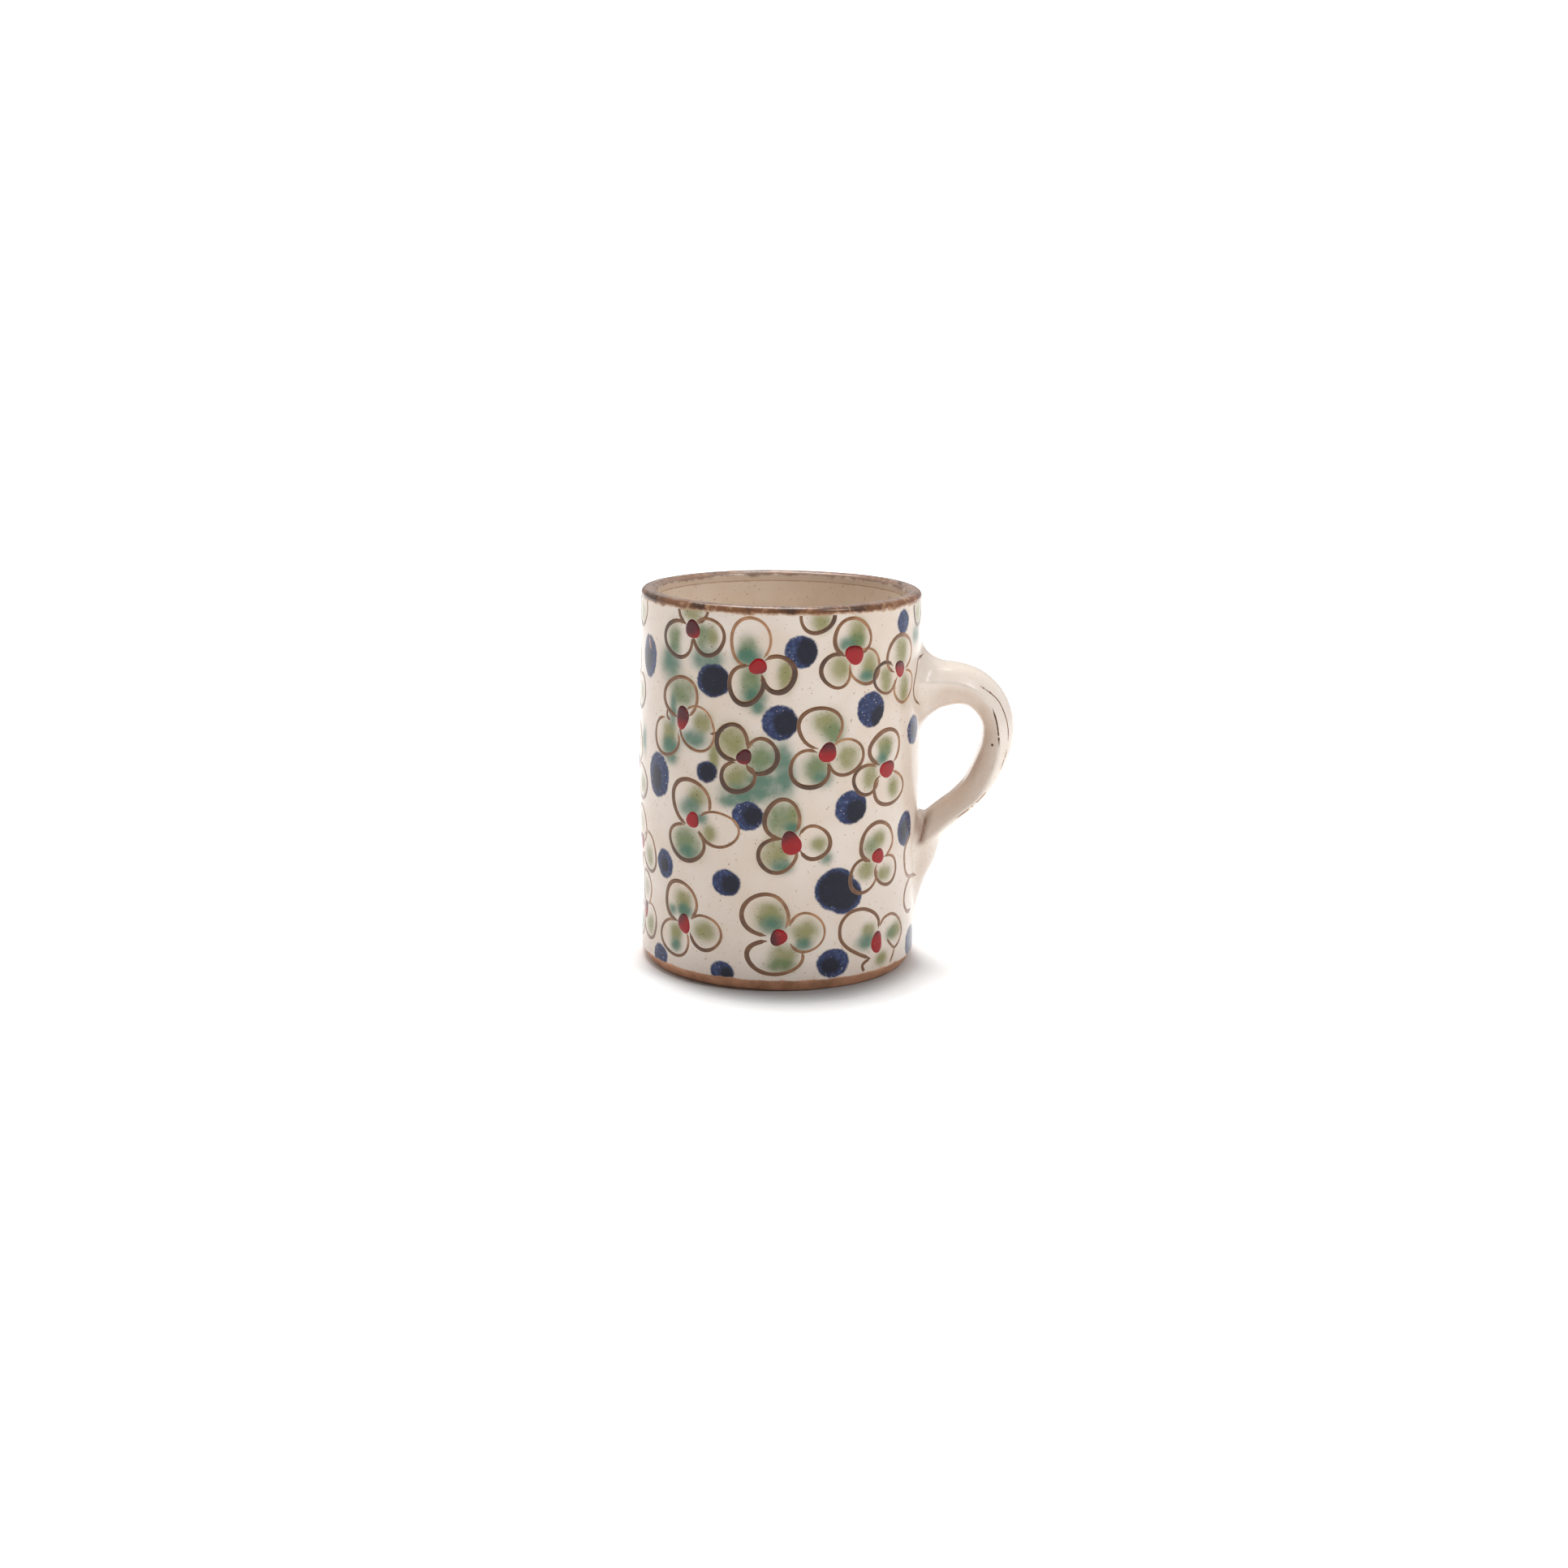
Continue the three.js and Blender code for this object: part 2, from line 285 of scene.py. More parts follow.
def foot_clay():
    """The bevel: bare brown clay, with the glaze's edge at its top."""
    m = Surface("foot_clay", 0.55, 0.0)
    colour = m.mix(m.ramp(m.foot_line(), FOOT_EDGE - 0.1, FOOT_EDGE + 0.4), m.clay(), CREAM)
    return m.finish(colour, 0.12, 1.2)


def bare_clay():
    m = Surface("bare_clay", 0.8, 0.0)
    return m.finish(m.clay(), 0.15, 1.0)


def brush_line():
    """The outlines: thin brown at the edges, darker where the brush left more."""
    m = Surface("brush_line", 0.25, 0.15)
    tone = m.jitter(m.value("tone"), 2.0, 0.3, 26.0)
    colour = m.mix(m.ramp(tone, 0.0, 0.5), INK_THIN, INK)
    colour = m.mix(m.ramp(tone, 0.5, 1.0), colour, INK_DARK)
    colour = m.mix(m.ramp(m.value("edge"), 0.0, 1.0, 0.75, 0.0), colour, INK_THIN)
    return m.finish(colour, 0.05, 1.0)


def heart_red():
    """The hearts: glossy red, nearly brown where "dark" is high."""
    m = Surface("heart_red", 0.2, 0.15, 0.16)
    dark = m.jitter(m.value("dark"), 1.5, 0.25, 27.0)
    colour = m.mix(m.ramp(dark, 0.1, 0.9), RED, RED_DARK)
    colour = m.mix(m.ramp(m.noise(0.9, 1, 28.0), 0.62, 0.75, 0.0, 0.3), colour, RED_PALE)
    return m.finish(colour, 0.06, 1.0)


# ---- Shapes


def new_piece(name, points, faces, material, values=None):
    """A mesh of points in mm that moves with the mug, with per-point values for its material."""
    mesh = bpy.data.meshes.new(name)
    mesh.from_pydata((np.asarray(points) / 1000).tolist(), [], [list(map(int, f)) for f in faces])
    mesh.shade_smooth()
    for key, numbers in (values or {}).items():
        layer = mesh.attributes.new(key, "FLOAT", "POINT")
        layer.data.foreach_set("value", np.asarray(numbers, np.float32).ravel())
    mesh.materials.append(material)
    piece = bpy.data.objects.new(name, mesh)
    bpy.context.scene.collection.objects.link(piece)
    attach(piece, "root")
    return piece


def wall_radius(angle, z):
    """The outer radius: a slight belly, one dent low on the left, and the waver of a cup thrown by hand."""
    angle = (angle + np.pi) % (2 * np.pi) - np.pi
    belly = 0.55 * np.exp(-(((z - 58) / 24) ** 2))
    dent = -0.65 * np.exp(-(((z - 21) / 8) ** 2) - ((angle + 1.6) / 0.6) ** 2)
    waver = 0.1 * np.sin(2 * angle + 0.04 * z + 1) + 0.06 * np.sin(3 * angle - 0.07 * z)
    rings = 0.025 * np.sin(0.8 * z + 1.5 * np.sin(angle))
    return RADIUS + belly + dent + waver + rings


def on_wall(s, z, lift=0.0):
    """The point of the wall at unrolled place s, z, lifted off it by so many mm."""
    angle = np.asarray(s) / RADIUS
    r = wall_radius(angle, z) + lift
    return np.stack([r * np.sin(angle), -r * np.cos(angle), z + 0 * r], -1)


def ring_faces(rows, columns):
    """Quads of a grid of points whose columns close into rings; rows run so that the faces look outwards."""
    i, j = np.meshgrid(np.arange(rows - 1), np.arange(columns), indexing="ij")
    low, high, k = i * columns, (i + 1) * columns, (j + 1) % columns
    return np.stack([low + j, low + k, high + k, high + j], -1).reshape(-1, 4)


def turned(profile, columns, z_waver):
    """Points of a profile [(r, z)] turned about the axis, with the wall's own waver at z_waver added."""
    angle = np.arange(columns) / columns * 2 * np.pi
    r, z = np.asarray(profile, float).T
    extra = (wall_radius(angle, np.full(columns, z_waver)) - RADIUS)[None, :]
    r = r[:, None] + extra * np.clip(r / BORE, 0, 1)[:, None]
    return np.stack([r * np.sin(angle), -r * np.cos(angle), z[:, None] + 0 * r], -1)


def arc(cx, cz, radius, first, last, steps):
    """Places of a section on an arc between two directions in degrees."""
    turn = np.radians(np.linspace(first, last, steps + 1))
    return [(cx + radius * np.cos(t), cz + radius * np.sin(t)) for t in turn]


def build_cup(painting):
    s, z = np.meshgrid(np.arange(COLUMNS) / COLUMNS * ROUND, np.linspace(FOOT_EDGE, RIM_EDGE, WALL_ROWS))
    wall = new_piece(
        "painted_wall", on_wall(s, z).reshape(-1, 3), ring_faces(WALL_ROWS, COLUMNS), painted_glaze(),
        paint_at(painting, s, z),
    )
    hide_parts("outer_glaze", "cup_wall")

    # The lip's section, from the outside over the top; its oxide wears away towards the inside, and its top and inner
    # face are painted lighter as painted highlight and painted light.
    lip = [(RADIUS, RIM_EDGE)] + arc(RADIUS - RIM_BAND, RIM_EDGE, RIM_BAND, 8, 84, 7)
    lip += [(RADIUS - 2.2, HEIGHT + 0.02)] + arc(BORE + RIM_BAND, RIM_EDGE, RIM_BAND, 96, 180, 8)
    lip += [(BORE, HEIGHT - 2.2), (BORE, HEIGHT - LIP_DEPTH)]
    points = turned(lip, COLUMNS, RIM_EDGE)
    top = np.clip((points[..., 2] - RIM_EDGE) / RIM_BAND, 0, 1)
    angle = np.arange(COLUMNS) / COLUMNS * 2 * np.pi
    points[..., 2] -= top * (0.1 + 0.06 * np.sin(2 * angle + 1) + 0.04 * np.sin(5 * angle))[None, :]
    at = (0, 3, 6, 9, 12, 15, len(lip) - 1)
    # Along the section: the oxide's wear, with a painted highlight on the top and painted light on the inner face.
    worn_and_lit = np.repeat(np.interp(np.arange(len(lip)), at, (0, 0.1, 0.35, 0.5, 0.4, 0.7, 1)), COLUMNS)
    rim = new_piece(
        "rim_lip", points.reshape(-1, 3), ring_faces(len(lip), COLUMNS), rim_wash(), {"worn_and_lit": worn_and_lit},
    )
    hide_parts("rim_band")

    # The inside, with throwing rings that fade out below the lip.
    depth = np.linspace(HEIGHT - LIP_DEPTH, FLOOR_TOP + COVE, 90)
    fade = np.clip((HEIGHT - LIP_DEPTH - depth) / 10, 0, 1)
    inside = [(BORE + 0.16 * f * np.sin(d / 1.15), d) for d, f in zip(depth, fade)]
    inside += arc(BORE - COVE, FLOOR_TOP + COVE, COVE, -8, -82, 9)
    inside += [(r, FLOOR_TOP + 0.12 * np.sin(r / 1.6) ** 2) for r in np.linspace(BORE - COVE, 1.2, 40)]
    points = turned(inside, LINER_COLUMNS, RIM_EDGE).reshape(-1, 3)
    middle = list(range(len(points) - LINER_COLUMNS, len(points)))
    faces = ring_faces(len(inside), LINER_COLUMNS).tolist() + [middle]
    liner = new_piece("liner", points, faces, liner_glaze())
    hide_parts("inner_glaze")

    # The foot's bevel, from the table up, and the flat underside that meets it.
    corner, edge = RADIUS - FOOT_INSET, RADIUS - FOOT_INSET - 0.5
    bevel = [(edge, 0.0), (corner - 0.2, 0.1), (corner, 0.35), (corner + 0.35, 0.8)]
    bevel += [(RADIUS - 1.2, 1.9), (RADIUS - 0.45, 2.75), (RADIUS, FOOT_EDGE)]
    foot = new_piece(
        "foot_bevel", turned(bevel, COLUMNS, FOOT_EDGE).reshape(-1, 3), ring_faces(len(bevel), COLUMNS),
        foot_clay(),
    )
    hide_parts("foot_band")

    base = [(r, 0.0) for r in np.linspace(1.2, edge, 24)]
    points = turned(base, COLUMNS, FOOT_EDGE).reshape(-1, 3)
    faces = [list(range(COLUMNS))[::-1]] + ring_faces(len(base), COLUMNS).tolist()
    under = new_piece("underside", points, faces, bare_clay())
    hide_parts("cup_floor")


# ---- The handle: a field that is negative inside the clay, and the mesh of its zero surface

# The field's grid: its low corner, its step and its number of places along each axis.
GRID_LOW, GRID_STEP, GRID_SIZE = np.array([35.0, -15.5, 6.0]), 0.55, (62, 57, 171)
SINK = 0.08  # how deep the field's wall lies under the painted one, so that only the handle shows
TAIL_CORE = 36.0  # the middle of the tail's section, inside the wall

# Along the strap: x and z of its middle, half thickness, half width, and where the side face ends as a share of the
# half thickness, from -1 at the inner face to 1 at the crown.
STRAP = np.array([
    (34, 80.3, 8.8, 10.5, 0.3), (38.5, 80.5, 8.5, 10.4, 0.3), (42, 80.8, 7.7, 10.1, 0.28),
    (46, 81.3, 6.6, 9.8, 0.25), (51, 81.4, 5.8, 9.6, 0.18), (56, 80, 5.3, 9.5, 0.05),
    (60.3, 76.2, 5, 9.4, -0.05), (62.9, 70.8, 4.7, 9.3, -0.1), (62.9, 64.8, 4.5, 9.1, 0),
    (61.2, 58.9, 4.3, 8.8, 0.2), (57.3, 51.4, 3.8, 8.3, 0.42), (53, 46.9, 3.5, 8, 0.48),
    (48.6, 43.2, 3.6, 7.9, 0.48), (43.5, 38.7, 3.8, 8, 0.43), (38, 35.4, 5, 8.2, 0.3),
])
# Up the tail that was smeared down the wall: z, reach from the axis, half width.
TAIL = np.array([
    (8, 37, 1.5), (11, 38.6, 2), (15, 39.9, 2.8), (21.5, 42.4, 5), (28.5, 45.4, 7), (34, 47.1, 8),
    (38.5, 47.4, 7.8), (42.5, 42.2, 6), (45, 38, 3),
])
# The fold on the near side where the strap's end was pressed over the tail: x and z of its two ends.
FOLD = ((43.3, 44.2), (41.0, 36.2))


def across_line(x, z, first, last):
    """The distance of places in the handle's plane from the line between first and last."""
    dx, dz = last[0] - first[0], last[1] - first[1]
    t = np.clip(((x - first[0]) * dx + (z - first[1]) * dz) / (dx * dx + dz * dz), 0, 1)
    return np.hypot(x - first[0] - t * dx, z - first[1] - t * dz)


def smooth_min(a, b, k):
    """The smaller of two fields, rounded where they differ by less than k."""
    h = np.maximum(k - np.abs(a - b), 0) / k
    return np.minimum(a, b) - h * h * k / 4


def smooth_max(a, b, k):
    return -smooth_min(-a, -b, k)


def smooth_path(stations, steps):
    """A Catmull-Rom path through the stations."""
    padded = np.vstack([2 * stations[0] - stations[1], stations, 2 * stations[-1] - stations[-2]])
    out = []
    for a, b, c, d in zip(padded, padded[1:], padded[2:], padded[3:]):
        for t in np.arange(steps) / steps:
            bend, twist = 2 * a - 5 * b + 4 * c - d, 3 * b - a - 3 * c + d
            out.append(0.5 * (2 * b + (c - a) * t + bend * t**2 + twist * t**3))
    return np.array(out + [stations[-1]])


SPINE = smooth_path(STRAP, 16)


def strap_frame(x, z):
    """For places in the handle's plane: the nearest place along the strap from 0 to 1, and the distance outwards."""
    best = np.full(np.shape(x), np.inf)
    along, across = np.zeros(np.shape(x)), np.zeros(np.shape(x))
    last = len(SPINE) - 1
    for i in range(last):
        ax, az = SPINE[i, :2]
        dx, dz = SPINE[i + 1, :2] - SPINE[i, :2]
        size = dx * dx + dz * dz
        t = np.clip(((x - ax) * dx + (z - az) * dz) / size, 0, 1)
        px, pz = x - ax - t * dx, z - az - t * dz
        gap = px * px + pz * pz
        nearer = gap < best
        best = np.where(nearer, gap, best)
        along = np.where(nearer, (i + t) / last, along)
        across = np.where(nearer, (pz * dx - px * dz) / np.sqrt(size), across)
    return along, across


def strap_size(along):
    """The half thickness, half width and shoulder of the strap."""
    at = along * (len(SPINE) - 1)
    return [np.interp(at, np.arange(len(SPINE)), SPINE[:, k]) for k in (2, 3, 4)]


def strap_field(along, across, y):
    """The section is a loaf: a flat inner face, sides that widen to a ridge, a chamfer and a low crown."""
    thick, wide, shoulder = strap_size(along)
    y = np.abs(y)
    ridge = thick * shoulder
    inward = np.clip((ridge - across) / (thick + ridge), 0, 1.5)
    side = (y - wide * (1 - 0.36 * inward)) * 0.8
    inner = -across - thick
    crown = across - ridge - (thick - ridge) * (0.45 + 0.55 * (1 - np.clip(y / wide, 0, 1.3) ** 2))
    chamfer = (across - ridge) * 0.68 + (y - wide) * 0.73
    body = smooth_max(side, inner, 2.6)
    return smooth_max(smooth_max(body, chamfer, 0.6), crown, 1.0)


def handle_field(x, y, z, along, across):
    """The strap, its tail and the sunk wall, run together with fillets; and the distance off the painted wall."""
    strap = strap_field(along, across, y)
    reach = np.interp(z, TAIL[:, 0], TAIL[:, 1])
    wide = np.interp(z, TAIL[:, 0], TAIL[:, 2])
    depth = np.maximum(reach - TAIL_CORE, 0.5)
    tail = (np.sqrt(((x - TAIL_CORE) / depth) ** 2 + (np.abs(y) / wide) ** 2.0) - 1) * np.minimum(depth, wide)
    tail = tail + 0.8 * np.maximum(z - TAIL[-1, 0], 0)
    dents = 0.22 * np.sin(0.55 * y + 0.31 * z) * np.sin(0.42 * z - 0.2 * x + 1)
    handle = smooth_min(strap, tail, 2.5) + dents * np.exp(-((z - 30) / 22) ** 2)
    wall = np.hypot(x, y) - wall_radius(np.arctan2(x, -y), z) + SINK
    groove = 0.45 * np.exp(-((across_line(x, z, *FOLD) / 0.8) ** 2)) * np.clip(-y / 4, 0, 1)
    handle = handle + groove
    fillet = 3.0 + (np.interp(z, (44, 61, 80, 87), (3.0, 8.0, 8.0, 9.0)) - 3.0) * np.exp(-((y / 7.5) ** 2))
    return smooth_min(handle, wall, fillet), wall - SINK


def surface_nets(field, origin, step):
    """The zero surface of a field on a grid, as points and quads."""
    inside = field < 0
    total = np.zeros(tuple(n - 1 for n in field.shape) + (3,))
    count = np.zeros(total.shape[:3])
    for axis in range(3):
        u, v = [a for a in range(3) if a != axis]
        for du in (0, 1):
            for dv in (0, 1):
                first = [0, 0, 0]
                first[u], first[v] = du, dv
                a = field[tuple(slice(i, i + n) for i, n in zip(first, count.shape))]
                first[axis] = 1
                b = field[tuple(slice(i, i + n) for i, n in zip(first, count.shape))]
                cross = (a < 0) != (b < 0)
                t = np.where(cross, a / np.where(cross, a - b, 1), 0)
                total[..., axis] += t
                total[..., u] += du * cross
                total[..., v] += dv * cross
                count += cross
    used = count > 0
    number = np.full(used.shape, -1)
    number[used] = np.arange(used.sum())
    cell = np.argwhere(used)
    points = (cell + total[used] / count[used][:, None]) * step + origin
    faces = []
    for axis in range(3):
        u, v = (axis + 1) % 3, (axis + 2) % 3
        a = np.moveaxis(inside, (axis, u, v), (0, 1, 2))
        n = np.moveaxis(number, (axis, u, v), (0, 1, 2))
        rising, falling = a[:-1] & ~a[1:], ~a[:-1] & a[1:]
        for change, order in ((rising, 1), (falling, -1)):
            i, j, k = np.nonzero(change[:, 1:-1, 1:-1])
            quad = np.stack([n[i, j, k], n[i, j + 1, k], n[i, j + 1, k + 1], n[i, j, k + 1]], -1)
            faces.append(quad[:, ::order])
    return points, np.vstack(faces)


def handle_at(points):
    x, y, z = points.T
    return handle_field(x, y, z, *strap_frame(x, z))


def settle(points, rounds):
    """Moves points onto the handle's surface, and returns them with the directions that lead off it."""
    for _ in range(rounds):
        value, _ = handle_at(points)
        slope = [(handle_at(points + 0.05 * e)[0] - handle_at(points - 0.05 * e)[0]) / 0.1 for e in np.eye(3)]
        slope = np.stack(slope, -1)
        size = np.maximum((slope**2).sum(1), 0.2)[:, None]
        points = points - np.clip(value[:, None] / size, -0.4, 0.4) * slope
    return points, slope / np.maximum(np.linalg.norm(slope, axis=1), 1e-6)[:, None]


def build_handle(painting):
    axes = [GRID_LOW[i] + GRID_STEP * np.arange(n) for i, n in enumerate(GRID_SIZE)]
    plane_x, plane_z = np.meshgrid(axes[0], axes[2], indexing="ij")
    along, across = strap_frame(plane_x, plane_z)
    x, y, z = np.meshgrid(*axes, indexing="ij")
    field, _ = handle_field(x, y, z, along[:, None, :], across[:, None, :])
    points, faces = surface_nets(field, GRID_LOW, GRID_STEP)
    points, _ = settle(points, 2)
    _, off_wall = handle_at(points)
    # Only what rises out of the wall is kept, with a skirt that ends under the painted wall.
    faces = faces[(off_wall[faces] > 0.02 - SINK).any(1)]
    kept = np.unique(faces)
    renumber = np.zeros(len(points), int)
    renumber[kept] = np.arange(len(kept))
    points, faces, off_wall = points[kept], renumber[faces], off_wall[kept]

    x, y, z = points.T
    near = np.clip(-y / 4, 0, 1)
    along, across = strap_frame(x, z)
    thick, _, shoulder = strap_size(along)
    fold = across_line(x, z, *FOLD)
    values = paint_at(painting, RADIUS * np.arctan2(x, -y), z, off_wall)
    # Thin glaze and painted shade: the inner side below the ridge, towards the bend.
    values["bare"] = np.clip((thick * shoulder - across) / 2.5, 0, 1) * np.clip((x - 42) / 6, 0, 1)
    # Painted light: the handle is lighter away from the wall and round the upper root, over the shade in the root's
    # fillet.
    root = np.exp(-(((x - 44) / 5) ** 2) - ((z - 84) / 6) ** 2)
    values["painted_light"] = np.maximum(0.5 * np.clip((off_wall - 2) / 6, 0, 1), 0.8 * root)
    # Painted shade: a warm tan patch on the near side where the upper root meets the wall.
    patch = 0.7 * np.exp(-(((x - 43.2) / 2) ** 2) - ((z - 85) / 2.5) ** 2) * near
    values["joint_shade"] = np.maximum(values["joint_shade"], patch)
    # The fold's brown: pooled glaze and painted shade along the crease.
    values["fold"] = np.maximum(0.95 * np.exp(-((fold / 0.55) ** 2)), 0.5 * np.exp(-((fold / 1.2) ** 2))) * near
    handle = new_piece("handle", points, faces, handle_glaze(), values)
    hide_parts("handle_upper_root", "handle_strap", "handle_lower_root")


# ---- The painting, in unrolled coordinates
#
# A flower is its heart (s, z, half width, half height, share of it that is dark, direction of the dark side in
# degrees), its petals, and its washes. A petal is (s, z, half width, half height, line width, tone, direction of its
# heaviest side), and is open towards the heart, by a random angle or by its last two numbers, in radians. A wash is
# (kind, s, z, half width, half height).

